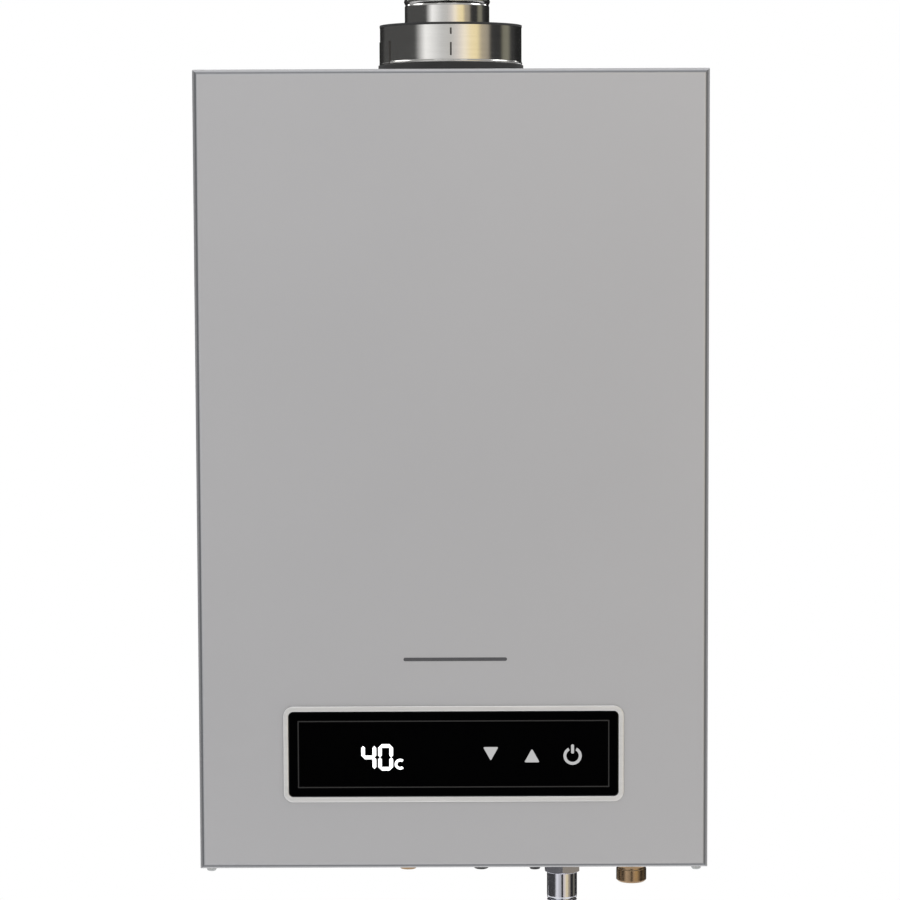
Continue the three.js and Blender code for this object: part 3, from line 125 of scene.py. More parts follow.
floor_mesh = bpy.data.meshes.new("floor")
FLOOR_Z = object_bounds()[0][2] - 0.55
FLOOR_HALF = 1.7
floor_corners = [(-FLOOR_HALF, -FLOOR_HALF, FLOOR_Z), (FLOOR_HALF, -FLOOR_HALF, FLOOR_Z),
                 (FLOOR_HALF, FLOOR_HALF, FLOOR_Z), (-FLOOR_HALF, FLOOR_HALF, FLOOR_Z)]
floor_mesh.from_pydata(floor_corners, [], [(0, 1, 2, 3)])
floor = bpy.data.objects.new("floor", floor_mesh)
bpy.context.collection.objects.link(floor)


class Shade:
    """One output of a node tree. Arithmetic on it adds Math nodes; node() adds any other node."""

    def __init__(self, tree, socket):
        self.tree = tree
        self.socket = socket

    def node(self, kind, settings, values, output=0):
        """Adds a node of this type, makes its settings, then fills or links its sockets."""
        made = self.tree.nodes.new(kind)
        for key, value in settings.items():
            if key == "stops":
                ramp = made.color_ramp.elements
                while len(ramp) < len(value):
                    ramp.new(0.5)
                for element, (position, level) in zip(ramp, value):
                    element.position = position
                    element.color = (*(level if isinstance(level, tuple) else (level,) * 3), 1)
            else:
                setattr(made, key, value)
        for key, value in values.items():
            if isinstance(value, Shade):
                self.tree.links.new(value.socket, made.inputs[key])
            else:
                made.inputs[key].default_value = value
        return Shade(self.tree, made.outputs[output])

    def maths(self, operation, first, second=0.0):
        """A Math node with this operation on one or two values."""
        return self.node("ShaderNodeMath", {"operation": operation}, {0: first, 1: second})

    def noise(self, scale, detail=2.0, stretch=(1, 1, 1)):
        """Noise on this vector, a pattern about 1/scale metres wide, stretched along an axis."""
        where = self.node("ShaderNodeMapping", {}, {"Vector": self, "Scale": stretch})
        return self.node("ShaderNodeTexNoise", {}, {"Vector": where, "Scale": scale, "Detail": detail})

    def between(self, low, high):
        """Two colours, given or made by nodes, mixed by this value."""
        first, second = (c if isinstance(c, Shade) else (*c, 1) for c in (low, high))
        return self.node("ShaderNodeMix", {"data_type": "RGBA"}, {0: self, 6: first, 7: second}, output=2)

    def ramp(self, *stops):
        """This value through a ramp of (position, grey level or colour) stops."""
        return self.node("ShaderNodeValToRGB", {"stops": stops}, {0: self})

    def step(self, start, end):
        """0 below start and 1 above end, with a smooth change between them."""
        values = {"Value": self, "From Min": start, "From Max": end}
        return self.node("ShaderNodeMapRange", {"interpolation_type": "SMOOTHSTEP"}, values)

    def bump(self, strength, depth):
        """A normal from this value taken as a height, up to depth metres."""
        values = {"Strength": strength, "Distance": depth, "Height": self}
        return self.node("ShaderNodeBump", {}, values)

    def __add__(self, other):
        return self.maths("ADD", self, other)

    def __sub__(self, other):
        return self.maths("SUBTRACT", self, other)

    def __rsub__(self, other):
        return self.maths("SUBTRACT", other, self)

    def __mul__(self, other):
        return self.maths("MULTIPLY", self, other)

    __radd__ = __add__
    __rmul__ = __mul__


def material(recipe):
    """A material named after its recipe, a function that turns the object's own coordinates
    into the values and links of a Principled shader."""
    made = bpy.data.materials.new(recipe.__name__)
    made.use_nodes = True
    tree = made.node_tree
    tree.nodes.clear()
    place = Shade(tree, tree.nodes.new("ShaderNodeTexCoord").outputs["Object"])
    shader = place.node("ShaderNodeBsdfPrincipled", {}, recipe(place))
    output = tree.nodes.new("ShaderNodeOutputMaterial")
    tree.links.new(shader.socket, output.inputs["Surface"])
    return made


def pale_floor(place):
    """Matt studio paper."""
    tone = place.noise(3, 3).between((0.74, 0.74, 0.74), (0.78, 0.78, 0.78))
    return {"Base Color": tone, "Roughness": 0.9}


floor.data.materials.append(material(pale_floor))

# The surround is plain white where the camera sees it and even grey where it lights the
# paint. Polished metal mirrors tall screens round the horizon: white on the left, yellow and
# buff on the right, a narrow khaki one far right, and dark gaps between them. Straight ahead
# and low down it is unlit, which is what the glass mirrors.

world = bpy.data.worlds.new("studio")
bpy.context.scene.world = world
world.use_nodes = True
world.node_tree.nodes.clear()
AMBIENT = (0.80, 0.80, 0.80)
OVERHEAD = (0.50, 0.50, 0.50)
UNLIT = (0.006, 0.006, 0.006)
heading = Shade(world.node_tree, world.node_tree.nodes.new("ShaderNodeTexCoord").outputs["Generated"])
east, north, up = (heading.node("ShaderNodeSeparateXYZ", {}, {0: heading}, output=k) for k in range(3))
turn = east.maths("ARCTAN2", east, north * -1.0) * (0.5 / math.pi) + 0.5
screens = turn.ramp(
    (0.00, 0.02), (0.10, 0.03), (0.13, 0.09), (0.335, 0.09), (0.36, 0.70), (0.385, 1.35), (0.42, 1.10),
    (0.46, 0.80), (0.50, (0.76, 0.75, 0.73)), (0.53, (0.95, 0.89, 0.85)), (0.56, (1.30, 1.18, 0.98)),
    (0.59, (1.25, 1.06, 0.66)), (0.62, (1.22, 1.03, 0.60)), (0.64, (0.60, 0.52, 0.38)),
    (0.675, (0.46, 0.41, 0.33)), (0.69, 0.05), (0.745, 0.04), (0.765, (0.27, 0.26, 0.20)),
    (0.795, (0.29, 0.28, 0.22)), (0.82, 0.06), (0.875, 0.02), (1.00, 0.02),
)
lowered = (up.step(-0.40, -0.06) * 0.5 + 0.5).ramp((0.0, 0.0), (1.0, 1.0))
screens = up.node("ShaderNodeVectorMath", {"operation": "MULTIPLY"}, {0: screens, 1: lowered})
screens = up.step(0.25, 0.55).between(screens, OVERHEAD)
ahead = turn.maths("ABSOLUTE", turn - 0.5).step(0.020, 0.014)
screens = (ahead * up.step(-0.03, -0.07)).between(screens, UNLIT)
rays = world.node_tree.nodes.new("ShaderNodeLightPath")
seen = Shade(world.node_tree, rays.outputs["Is Camera Ray"])
mirrored = Shade(world.node_tree, rays.outputs["Is Glossy Ray"])
glow = seen.between(mirrored.between(AMBIENT, screens), (1, 1, 1))
background = seen.node("ShaderNodeBackground", {}, {"Strength": 1.0, "Color": glow})
world_output = world.node_tree.nodes.new("ShaderNodeOutputWorld")
world.node_tree.links.new(background.socket, world_output.inputs["Surface"])

# ---- Front cover ----
# A folded steel sheet with baked silver paint. Its front, sides and short top and bottom
# returns are one piece; two captive screws underneath hold it to the chassis.

SHEET = 1.2 * MM
COVER_BEND = 4.5 * MM
COVER_RETURN = 26 * MM
PAST = 8 * MM


def link(name, mesh, finish, body, *nodes):
    """Adds a finished mesh as a piece that rides on a body and stands for CAD nodes."""
    piece = bpy.data.objects.new(name, mesh)
    bpy.context.collection.objects.link(piece)
    mesh.materials.clear()
    mesh.materials.append(finish)
    piece.modifiers.new("normals", "WEIGHTED_NORMAL").keep_sharp = True
    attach(piece, body)
    if nodes:
        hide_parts(*nodes)
    return piece


SMOOTH_BELOW = math.radians(32)


def shaded(mesh):
    """Smooth shading that stays crisp where two faces meet at more than about 30 degrees."""
    mesh.shade_smooth()
    mesh.set_sharp_from_angle(angle=SMOOTH_BELOW)
    return mesh


def mesh_of(points, faces):
    """A mesh with its doubles merged and its faces pointing outwards."""
    mesh = bpy.data.meshes.new("piece")
    mesh.from_pydata(points, [], faces)
    work = bmesh.new()
    work.from_mesh(mesh)
    bmesh.ops.remove_doubles(work, verts=work.verts, dist=1e-7)
    bmesh.ops.recalc_face_normals(work, faces=work.faces)
    work.to_mesh(mesh)
    work.free()
    return shaded(mesh)


def arc(centre, radius, start, end, steps=12):
    """Points on an arc in a plane, from one angle in degrees to another."""
    turn = np.radians(np.linspace(start, end, steps + 1))
    return np.stack([centre[0] + radius * np.cos(turn), centre[1] + radius * np.sin(turn)], 1)


def prism(outline, axis, low, high):
    """An outline in the plane across an axis, carried along that axis from low to high."""
    outline = np.asarray(outline)
    count = len(outline)
    ends = []
    for level in (low, high):
        points = np.insert(outline, axis, level, axis=1)
        ends.append(points)
    ring = np.arange(count)
    after = (ring + 1) % count
    sides = np.stack([ring, after, after + count, ring + count], 1).tolist()
    faces = sides + [ring.tolist()[::-1], (ring + count).tolist()]
    return mesh_of(np.concatenate(ends), faces)


def rounded_rectangle(x0, x1, y0, y1, radius, steps=8):
    """The outline of a rectangle whose corners are quarter circles."""
    corners = [((x1 - radius, y0 + radius), -90), ((x1 - radius, y1 - radius), 0),
               ((x0 + radius, y1 - radius), 90), ((x0 + radius, y0 + radius), 180)]
    return np.concatenate([arc(centre, radius, turn, turn + 90, steps) for centre, turn in corners])


def circle(x, y, radius, steps=48):
    """Points evenly round a circle, the first one not repeated."""
    return arc((x, y), radius, 0, 360, steps)[:-1]


def combined(mesh, operation, *tools):
    """The mesh with each tool cut from it, joined to it, or shared with it."""
    base = bpy.data.objects.new("base", mesh)
    bpy.context.collection.objects.link(base)
    for tool in tools:
        cutter = bpy.data.objects.new("tool", tool)
        bpy.context.collection.objects.link(cutter)
        cutter.hide_render = True
        boolean = base.modifiers.new("boolean", "BOOLEAN")
        boolean.operation = operation
        boolean.solver = "EXACT"
        boolean.object = cutter
    result = bpy.data.meshes.new_from_object(base.evaluated_get(bpy.context.evaluated_depsgraph_get()))
    for cutter in [m.object for m in base.modifiers] + [base]:
        bpy.data.objects.remove(cutter)
    return shaded(result)


def softened(piece, width, segments=3):
    """Breaks the sharp edges of a piece by a small radius and keeps its flats flat."""
    if "normals" in piece.modifiers:
        piece.modifiers.remove(piece.modifiers["normals"])
    bevel = piece.modifiers.new("bevel", "BEVEL")
    bevel.width = width
    bevel.segments = segments
    bevel.limit_method = "ANGLE"
    bevel.angle_limit = math.radians(35)
    bevel.miter_outer = "MITER_ARC"
    normals = piece.modifiers.new("normals", "WEIGHTED_NORMAL")
    normals.keep_sharp = True
    return piece


def bent_box(inset):
    """Where two prisms meet: the plan, rounded at its two front corners, carried upwards, and
    the side profile, rounded at its two front corners, carried sideways."""
    radius = COVER_BEND - inset
    (x0, y0, z0), (x1, y1, z1) = casing_low, casing_high
    x0, x1, z0, z1, y0 = x0 + inset, x1 - inset, z0 + inset, z1 - inset, y0 + inset
    back = y1 + (PAST if inset else 0)
    plan = np.concatenate([[(x0, back)], arc((x0 + radius, y0 + radius), radius, 180, 270),
                           arc((x1 - radius, y0 + radius), radius, 270, 360), [(x1, back)]])
    profile = np.concatenate([[(back, z0), (back, z1)], arc((y0 + radius, z1 - radius), radius, 90, 180),
                              arc((y0 + radius, z0 + radius), radius, 180, 270)])
    return combined(prism(plan, 2, z0, z1), "INTERSECT", prism(profile, 0, x0 - PAST, x1 + PAST))


def axis_of(node):
    """The upright middle line of a round node: its x and y, bottom, top and outer radius."""
    low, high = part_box(node)
    return (low[0] + high[0]) / 2, (low[1] + high[1]) / 2, low[2], high[2], (high[0] - low[0]) / 2


def slab(x, y, z):
    """A plain block between three pairs of levels, used as a cutter."""
    return prism([(x[0], y[0]), (x[1], y[0]), (x[1], y[1]), (x[0], y[1])], 2, *z)


def silver_paint(place):
    """Baked metallic paint: an even grey with faint clouding, fine flake and orange peel. It has a
    painted shade on the folds: where the surface starts to turn away from the front, its colour turns dark."""
    cloud = place.noise(5, 3)
    flake = place.node("ShaderNodeTexVoronoi", {}, {"Vector": place, "Scale": 2600.0})
    peel = place.noise(900, 2)
    normal = place.node("ShaderNodeNewGeometry", {}, {}, output=1)
    facing = place.node("ShaderNodeSeparateXYZ", {}, {0: normal}, output=1)
    # Painted shade: the bends that turn away from the front are darkened in the paint's colour.
    bend_shade = (facing * -1.0).ramp((0.62, 0.0), (0.80, 0.75), (0.90, 1.0), (0.97, 0.45), (0.997, 0.0))
    even = (cloud * 0.75 + flake * 0.25).between((0.420, 0.420, 0.434), (0.462, 0.461, 0.474))
    return {
        "Base Color": bend_shade.between(even, (0.13, 0.135, 0.145)),
        "Metallic": 0.55,
        "Roughness": 0.36 + flake * 0.1,
        "Coat Weight": 0.12,
        "Coat Roughness": 0.22,
        "Normal": (peel + flake * 0.25).bump(0.08, 0.00006),
    }


SILVER_PAINT = material(silver_paint)
neck_low, neck_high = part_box("panel_bezel")
BEZEL_FLANGE = 3.8 * MM
BEZEL_NECK = 1.5 * MM
OPENING_GAP = 0.3 * MM
OPENING_CORNER = 3 * MM
opening = rounded_rectangle(neck_low[0] + BEZEL_FLANGE - BEZEL_NECK - OPENING_GAP,
                            neck_high[0] - BEZEL_FLANGE + BEZEL_NECK + OPENING_GAP,
                            neck_low[2] + BEZEL_FLANGE - BEZEL_NECK - OPENING_GAP,
                            neck_high[2] - BEZEL_FLANGE + BEZEL_NECK + OPENING_GAP, OPENING_CORNER)
inside_x = (casing_low[0] + SHEET, casing_high[0] - SHEET)
behind_return = (casing_low[1] + COVER_RETURN, casing_high[1] + PAST)
cutters = [
    bent_box(SHEET),
    slab(inside_x, behind_return, (casing_low[2] - PAST, casing_low[2] + PAST)),
    slab(inside_x, behind_return, (casing_high[2] - PAST, casing_high[2] + PAST)),
    prism(opening, 1, casing_low[1] - PAST, casing_low[1] + PAST),
]
SCREW_HOLE = 2.3 * MM
for screw in ("cover_screw_left", "cover_screw_right"):
    x, y, *_ = axis_of(screw)
    cutters.append(prism(circle(x, y, SCREW_HOLE), 2, casing_low[2] - PAST, casing_low[2] + PAST))
SLIT_LENGTH = 5 * MM
SLIT_HALF = 0.8 * MM
slit_z = casing_high[2] - 12.5 * MM
slit_y = casing_low[1] + COVER_BEND
for side in (casing_low[0], casing_high[0]):
    outer = (side - PAST, side + SHEET + 0.3 * MM) if side < 0 else (side - SHEET - 0.3 * MM, side + PAST)
    cutters.append(slab(outer, (slit_y, slit_y + SLIT_LENGTH), (slit_z - SLIT_HALF, slit_z + SLIT_HALF)))
cover_mesh = combined(bent_box(0), "DIFFERENCE", *cutters)
cover = link("painted_front_cover", cover_mesh, SILVER_PAINT, "cover", "front_cover")
softened(cover, 0.35 * MM)

# ---- Plain bar on the cover ----
# A thin dark bar printed above the panel, with nothing written on it.


def dark_print(place):
    """Dark grey screen print, slightly uneven."""
    tone = place.noise(400).between((0.045, 0.045, 0.05), (0.07, 0.07, 0.075))
    return {"Base Color": tone, "Roughness": 0.5}


DARK_PRINT = material(dark_print)
BAR_Z = casing_low[2] + 143.6 * MM
BAR_X = 1.4 * MM
BAR_HALF = (35 * MM, 1.2 * MM)
bar_outline = rounded_rectangle(BAR_X - BAR_HALF[0], BAR_X + BAR_HALF[0],
                                BAR_Z - BAR_HALF[1], BAR_Z + BAR_HALF[1], BAR_HALF[1] * 0.98)
bar_mesh = prism(bar_outline, 1, casing_low[1] - 0.12 * MM, casing_low[1] + 0.3 * MM)
link("plain_bar", bar_mesh, DARK_PRINT, "cover")

# ---- Panel bezel ----
# A drawn frame of satin silver trim. It stands a little proud of the cover, and its neck
# clips through the cut-out and holds the glass on an inner ledge.


def satin_silver(place):
    """Satin silver trim with a fine brushed grain along its length."""
    grain = place.noise(700, 3, (0.03, 1, 1))
    return {
        "Base Color": grain.between((0.74, 0.74, 0.74), (0.84, 0.84, 0.84)),
        "Metallic": 0.85,
        "Roughness": 0.3 + grain * 0.1,
        "Normal": grain.bump(0.05, 0.00004),
    }


SATIN_SILVER = material(satin_silver)
glass_low, glass_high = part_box("panel_glass")
CORNER = 3 * MM


def frame_outline(grow, radius):
    """The outline of the glass, grown by a distance, with corners of this radius."""
    return rounded_rectangle(glass_low[0] - grow, glass_high[0] + grow,
                             glass_low[2] - grow, glass_high[2] + grow, radius)


def banded(profile, corner):
    """A closed profile of (distance outside the glass, depth) carried round the glass. At each
    profile point the ring is a rounded rectangle, grown by that distance."""
    rings = []
    for grow, depth in profile:
        rings.append(np.insert(frame_outline(grow, corner + max(grow, 0)), 1, depth, axis=1))
    return tube_of(np.array(rings))


def tube_of(rings):
    """A skin over rings of equal point counts, closed both along the rings and round them."""
    rows, columns = rings.shape[:2]
    index = np.arange(rows * columns).reshape(rows, columns)
    down = np.roll(index, -1, axis=0)
    quads = np.stack([index, np.roll(index, -1, axis=1), np.roll(down, -1, axis=1), down], 2)
    return mesh_of(rings.reshape(-1, 3), quads.reshape(-1, 4).tolist())


def rounded_profile(points, radius, steps=4):
    """A closed profile with each corner eased by a quadratic curve that starts a radius away,
    or at most 0.45 of the shorter side away."""
    points = np.asarray(points, float)
    before, after = np.roll(points, 1, axis=0) - points, np.roll(points, -1, axis=0) - points
    lengths = np.minimum(np.linalg.norm(before, axis=1), np.linalg.norm(after, axis=1))
    reach = np.minimum(radius, 0.45 * lengths)[:, None]
    enter = points + before / np.linalg.norm(before, axis=1)[:, None] * reach
    leave = points + after / np.linalg.norm(after, axis=1)[:, None] * reach
    t = np.linspace(0, 1, steps + 1)[None, :, None]
    curve = (1 - t) ** 2 * enter[:, None] + 2 * t * (1 - t) * points[:, None] + t ** 2 * leave[:, None]
    return curve.reshape(-1, 2)


BEZEL_GAP = 0.25 * MM
LEDGE = 5 * MM
front = neck_low[1]
back = neck_high[1]
ledge_y = front + 2.8 * MM
seat_y = casing_low[1] - BEZEL_GAP
bezel_profile = rounded_profile([
    (BEZEL_GAP, ledge_y), (BEZEL_GAP, front), (BEZEL_FLANGE, front), (BEZEL_FLANGE, seat_y),
    (BEZEL_NECK, seat_y), (BEZEL_NECK, back), (-LEDGE, back), (-LEDGE, ledge_y),
], 0.55 * MM)
link("satin_bezel", banded(bezel_profile, CORNER), SATIN_SILVER, "cover", "panel_bezel")

# ---- Panel glass ----
# Black-backed touch glass with a ground edge. Its digits and symbols are lit from behind
# by the display board, so they lie in the face of the glass.


def black_glass(place):
    """Polished glass over black print: very dark, sharp reflections, a breath of haze."""
    haze = place.noise(25, 3)
    return {
        "Base Color": haze.between((0.0004, 0.0004, 0.0005), (0.0007, 0.0007, 0.0008)),
        "Roughness": 0.03 + haze * 0.03,
        "Specular IOR Level": 0.3,
    }


BLACK_GLASS = material(black_glass)
glass_mesh = prism(frame_outline(0, CORNER), 1, glass_low[1], glass_high[1])
glass = link("touch_glass", glass_mesh, BLACK_GLASS, "cover", "panel_glass")
softened(glass, 0.4 * MM)
glass_face = glass_low[1] - 0.04 * MM
glass_middle = (glass_low[2] + glass_high[2]) / 2


def lit_white(place):
    """Back-lit white segments."""
    glow = {"Emission Color": (1, 1, 1, 1), "Emission Strength": 0.9}
    return {"Base Color": (0.9, 0.9, 0.9, 1), "Roughness": 0.4, **glow}


def lit_grey(place):
    """Dimmer touch symbols."""
    glow = {"Emission Color": (1, 1, 1, 1), "Emission Strength": 0.15}
    return {"Base Color": (0.3, 0.3, 0.3, 1), "Roughness": 0.5, **glow}


def thin_grey(place):
    """A barely visible printed border."""
    tone = place.noise(300).between((0.006, 0.006, 0.006), (0.01, 0.01, 0.01))
    return {"Base Color": tone, "Roughness": 0.35}


LIT_WHITE = material(lit_white)
LIT_GREY = material(lit_grey)
THIN_GREY = material(thin_grey)


def joined(name, meshes):
    """Several meshes put together in one, as they are."""
    work = bmesh.new()
    for mesh in meshes:
        work.from_mesh(mesh)
    whole = bpy.data.meshes.new(name)
    work.to_mesh(whole)
    work.free()
    return whole


def printed(name, outlines, finish):
    """Flat shapes 0.05 mm thick on the face of the glass, joined in one mesh."""
    shapes = [prism(outline, 1, glass_face, glass_low[1] + 0.01 * MM) for outline in outlines]
    return link(name, joined(name, shapes), finish, "cover")


def segment(x0, z0, x1, z1, width):
    """A bar with pointed ends between two points, as in a seven-segment digit."""
    start, end = np.array([x0, z0]), np.array([x1, z1])
    along = (end - start) / np.linalg.norm(end - start)
    across = np.array([-along[1], along[0]]) * width / 2
    inner = along * width / 2
    return np.array([start, start + inner - across, end - inner - across,
                     end, end - inner + across, start + inner + across])


def digit(letters, x, z, width, height, stroke):
    """The segments of one digit: a is the top bar, then clockwise b, c, d, e, f, and g across."""
    left, right = x - width / 2, x + width / 2
    low, high = z - height / 2, z + height / 2
    ends = {
        "a": (left, high, right, high), "b": (right, high, right, z), "c": (right, z, right, low),
        "d": (left, low, right, low), "e": (left, z, left, low), "f": (left, high, left, z),
        "g": (left, z, right, z),
    }
    return [segment(*ends[letter], stroke) for letter in letters]


DIGIT = (7.6 * MM, 15.6 * MM, 2.5 * MM)
digits_z = glass_middle - 2.1 * MM
tens = digit("bcfg", -57.4 * MM, digits_z, *DIGIT)
units = digit("abcdef", -46.0 * MM, digits_z, *DIGIT)
printed("temperature_digits", tens + units, LIT_WHITE)
UNIT = (-36.2 * MM, digits_z - 4.7 * MM)
unit_mark = arc(UNIT, 3.7 * MM, 50, 310, 20)
unit_inner = arc(UNIT, 1.9 * MM, 310, 50, 20)
printed("degree_unit", [np.concatenate([unit_mark, unit_inner])], LIT_WHITE)


def triangle(x, z, up):
    """A triangle 10.4 mm wide and 9.4 mm high with rounded corners, pointing up or down."""
    half, rise = 5.2 * MM, 4.7 * MM * (1 if up else -1)
    return rounded_profile([(x - half, z - rise), (x + half, z - rise), (x, z + rise)], 1.2 * MM)


printed("down_symbol", [triangle(25.2 * MM, glass_middle, False)], LIT_GREY)
printed("up_symbol", [triangle(53.1 * MM, glass_middle - 1.2 * MM, True)], LIT_GREY)
power = (80.6 * MM, glass_middle - 1.5 * MM)
power_ring = np.concatenate([arc(power, 6.2 * MM, 118, 422, 40), arc(power, 4.2 * MM, 422, 118, 40)])
power_bar = rounded_rectangle(power[0] - 1.0 * MM, power[0] + 1.0 * MM,
                              power[1] + 1.5 * MM, power[1] + 7.8 * MM, 0.9 * MM)
printed("power_symbol", [power_ring, power_bar], LIT_GREY)


def border_line(inset, width):
    """The four thin sides of a printed frame inside the edge of the glass."""
    x0, x1 = glass_low[0] + inset, glass_high[0] - inset
    z0, z1 = glass_low[2] + inset, glass_high[2] - inset
    sides = [(x0, x1, z0, z0 + width), (x0, x1, z1 - width, z1),
             (x0, x0 + width, z0 + width, z1 - width), (x1 - width, x1, z0 + width, z1 - width)]
    return [[(a, c), (b, c), (b, d), (a, d)] for a, b, c, d in sides]


printed("printed_border", border_line(6 * MM, 0.8 * MM), THIN_GREY)

# ---- Flue ----
# Two coaxial pipes of bright rolled stainless sheet standing on a rubber ring: air comes in
# through the wide one and exhaust goes out through the narrow one. Both are lap-seamed.


def turned(profile, x, y, steps=128):
    """A closed profile of (radius, height) turned about a vertical axis through x and y."""
    profile = np.asarray(profile)
    turn = np.linspace(0, 2 * np.pi, steps, endpoint=False)
    radius, height = profile[:, 0][:, None], profile[:, 1][:, None]
    rings = np.stack([x + radius * np.cos(turn), y + radius * np.sin(turn), height + 0 * turn], 2)
    return tube_of(rings)


def bright_stainless(place):
    """Rolled mirror-bright stainless: long faint draw lines round it and small dents."""
    lines = place.noise(900, 2, (0.04, 0.04, 1))
    waves = place.noise(22, 1, (1, 1, 0.4))
    return {
        "Base Color": lines.between((0.60, 0.59, 0.57), (0.68, 0.67, 0.65)),
        "Metallic": 1.0,
        "Roughness": 0.10 + lines * 0.08,
        "Normal": (waves + lines * 0.04).bump(0.12, 0.0012),
    }


def seam_shadow(place):
    """Painted shade: a dark, rough strip that stands for the shade in the step at the edge of a lap."""
    soot = place.noise(300, 3).between((0.03, 0.028, 0.026), (0.09, 0.085, 0.08))
    return {"Base Color": soot, "Metallic": 0.5, "Roughness": 0.6}


BRIGHT_STAINLESS = material(bright_stainless)
SEAM_SHADOW = material(seam_shadow)


def flue_pipe(name, node, wall, beads, ease, proud):
    """A thin pipe with a rolled rim at each end and swaged beads between. The outside is the
    nominal radius plus a bell curve at each bead, and proud is what the node's bead adds to it."""
    x, y, low_z, high_z, radius = axis_of(node)
    radius = radius - proud
    z = np.linspace(low_z + ease, high_z - ease, 160)
    swell = sum(size * np.exp(-(((z - level) / spread) ** 2)) for level, spread, size in beads)
    outside = np.stack([radius + swell, z], 1)
    inside = np.stack([radius - wall + swell, z], 1)[::-1]
    top = arc((radius - wall / 2, high_z - ease), wall / 2, 0, 180, 6)[1:-1]
    bottom = arc((radius - wall / 2, low_z + ease), wall / 2, 180, 360, 6)[1:-1]
    profile = np.concatenate([outside, top, inside, bottom])
    return link(name, turned(profile, x, y), BRIGHT_STAINLESS, "heater", node)


collar_low, collar_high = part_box("flue_collar")
gasket_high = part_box("flue_gasket")[1]
collar_beads = [(gasket_high[2] + 1.3 * MM, 0.8 * MM, 0.45 * MM)]
flue_pipe("air_collar", "flue_collar", 1.0 * MM, collar_beads, 0.6 * MM, 0)
bead_z = collar_high[2] + 16.8 * MM
exhaust_beads = [(bead_z, 1.0 * MM, 0.55 * MM), (bead_z - 2.4 * MM, 0.6 * MM, -0.5 * MM)]
flue_pipe("exhaust_tube", "exhaust_pipe", 0.9 * MM, exhaust_beads, 0.5 * MM, 0.6 * MM)


def raised_strip(name, node, finish, azimuth, half_width, spans, thickness):
    """A curved plate on the outside of a pipe, as wide as twice half_width and centred on an
    azimuth in degrees (0 at the front, positive to the right), over each span of heights."""
    x, y, _, _, radius = axis_of(node)
    turn = math.radians(azimuth - 90) + np.linspace(-half_width, half_width, 13) / radius
    inner, outer = radius - 0.2 * MM, radius + thickness
    arcs = [np.stack([x + r * np.cos(turn), y + r * np.sin(turn)], 1) for r in (inner, outer)]
    outline = np.concatenate([arcs[0], arcs[1][::-1]])
    runs = joined(name, [prism(outline, 2, *span) for span in spans])
    return link(name, shaded(runs), finish, "heater")


rim_z = collar_high[2]
lap_runs = [(rim_z - 7.7 * MM, rim_z - 3.4 * MM), (rim_z - 22 * MM, rim_z - 13.2 * MM)]
tab_run = [(gasket_high[2] + 0.2 * MM, rim_z - 11 * MM)]
# The lap and the tab's edge get thin dark strips of painted shade.
raised_strip("collar_lap_shade", "flue_collar", SEAM_SHADOW, 0, 0.6 * MM, lap_runs, 0.22 * MM)
raised_strip("collar_tab", "flue_collar", BRIGHT_STAINLESS, -78, 16 * MM, tab_run, 0.4 * MM)
raised_strip("tab_seam_shade", "flue_collar", SEAM_SHADOW, -58.6, 0.5 * MM, tab_run, 0.5 * MM)


def black_rubber(place):
    """Moulded black rubber: matt, finely grained, a little dusty."""
    grain = place.noise(1500, 2)
    dust = place.noise(40, 4)
    return {
        "Base Color": dust.between((0.012, 0.012, 0.012), (0.03, 0.03, 0.031)),
        "Roughness": 0.72 + grain * 0.15,
        "Normal": grain.bump(0.2, 0.0001),
    }


BLACK_RUBBER = material(black_rubber)
RING_FOOT = 4.2 * MM
RING_LIP = 0.9 * MM
x, y, low_z, high_z, rim = axis_of("flue_gasket")
ring_seat = collar_low[2] - 0.3 * MM
gasket_profile = rounded_profile([
    (rim - RING_FOOT, low_z), (rim, low_z), (rim, high_z), (rim - RING_LIP, high_z),
    (rim - RING_LIP, ring_seat), (rim - RING_FOOT, ring_seat),
], 0.3 * MM)
link("rubber_ring", turned(gasket_profile, x, y), BLACK_RUBBER, "heater", "flue_gasket")


def lip_seal(name, node, overlap, height):
    """A black lip seal: a ring pressed over the rim of a pipe, with its lip turned inwards."""
    x, y, _, top, radius = axis_of(node)
    outer, inner, lip = radius + 0.25 * MM, radius - 0.05 * MM, radius - overlap
    profile = rounded_profile([
        (outer, top - height), (outer, top + 0.5 * MM), (lip, top + 0.5 * MM),
        (lip, top + 0.05 * MM), (inner, top + 0.05 * MM), (inner, top - height),
    ], 0.2 * MM)
    return link(name, turned(profile, x, y), BLACK_RUBBER, "heater")


lip_seal("air_lip_seal", "flue_collar", 3.5 * MM, 1.1 * MM)

# ---- Connections underneath ----
# A chrome-plated hot outlet with its hexagon nut, a turned brass cold inlet, a barbed gas
# tail, the ribbed drain knob and the cable gland, all through the bottom plate.


def bright_chrome(place):
    """Chrome plate over polished brass, with a trace of polishing marks."""
    marks = place.noise(500, 3, (1, 1, 0.08))
    return {
        "Base Color": marks.between((0.62, 0.62, 0.68), (0.68, 0.68, 0.74)),
        "Metallic": 1.0,
        "Roughness": 0.06 + marks * 0.05,
        "Normal": marks.bump(0.03, 0.0001),
    }


def turned_brass(place):
    """Machined brass: tool rings round the axis and a brown tarnish in patches."""
    rings = place.noise(900, 2, (0.06, 0.06, 1))
    tarnish = place.noise(60, 4)
    return {
        "Base Color": tarnish.between((0.50, 0.35, 0.20), (0.24, 0.16, 0.10)),
        "Metallic": 1.0,
        "Roughness": 0.12 + tarnish * 0.14,
        "Normal": rings.bump(0.12, 0.00008),
    }


def black_plastic(place):
    """Moulded black plastic with a fine spark-eroded grain."""
    grain = place.noise(1400, 2)
    return {
        "Base Color": place.noise(30, 3).between((0.014, 0.014, 0.015), (0.022, 0.022, 0.023)),
        "Roughness": 0.42 + grain * 0.16,
        "Normal": grain.bump(0.18, 0.00008),
    }


BRIGHT_CHROME = material(bright_chrome)
TURNED_BRASS = material(turned_brass)
BLACK_PLASTIC = material(black_plastic)


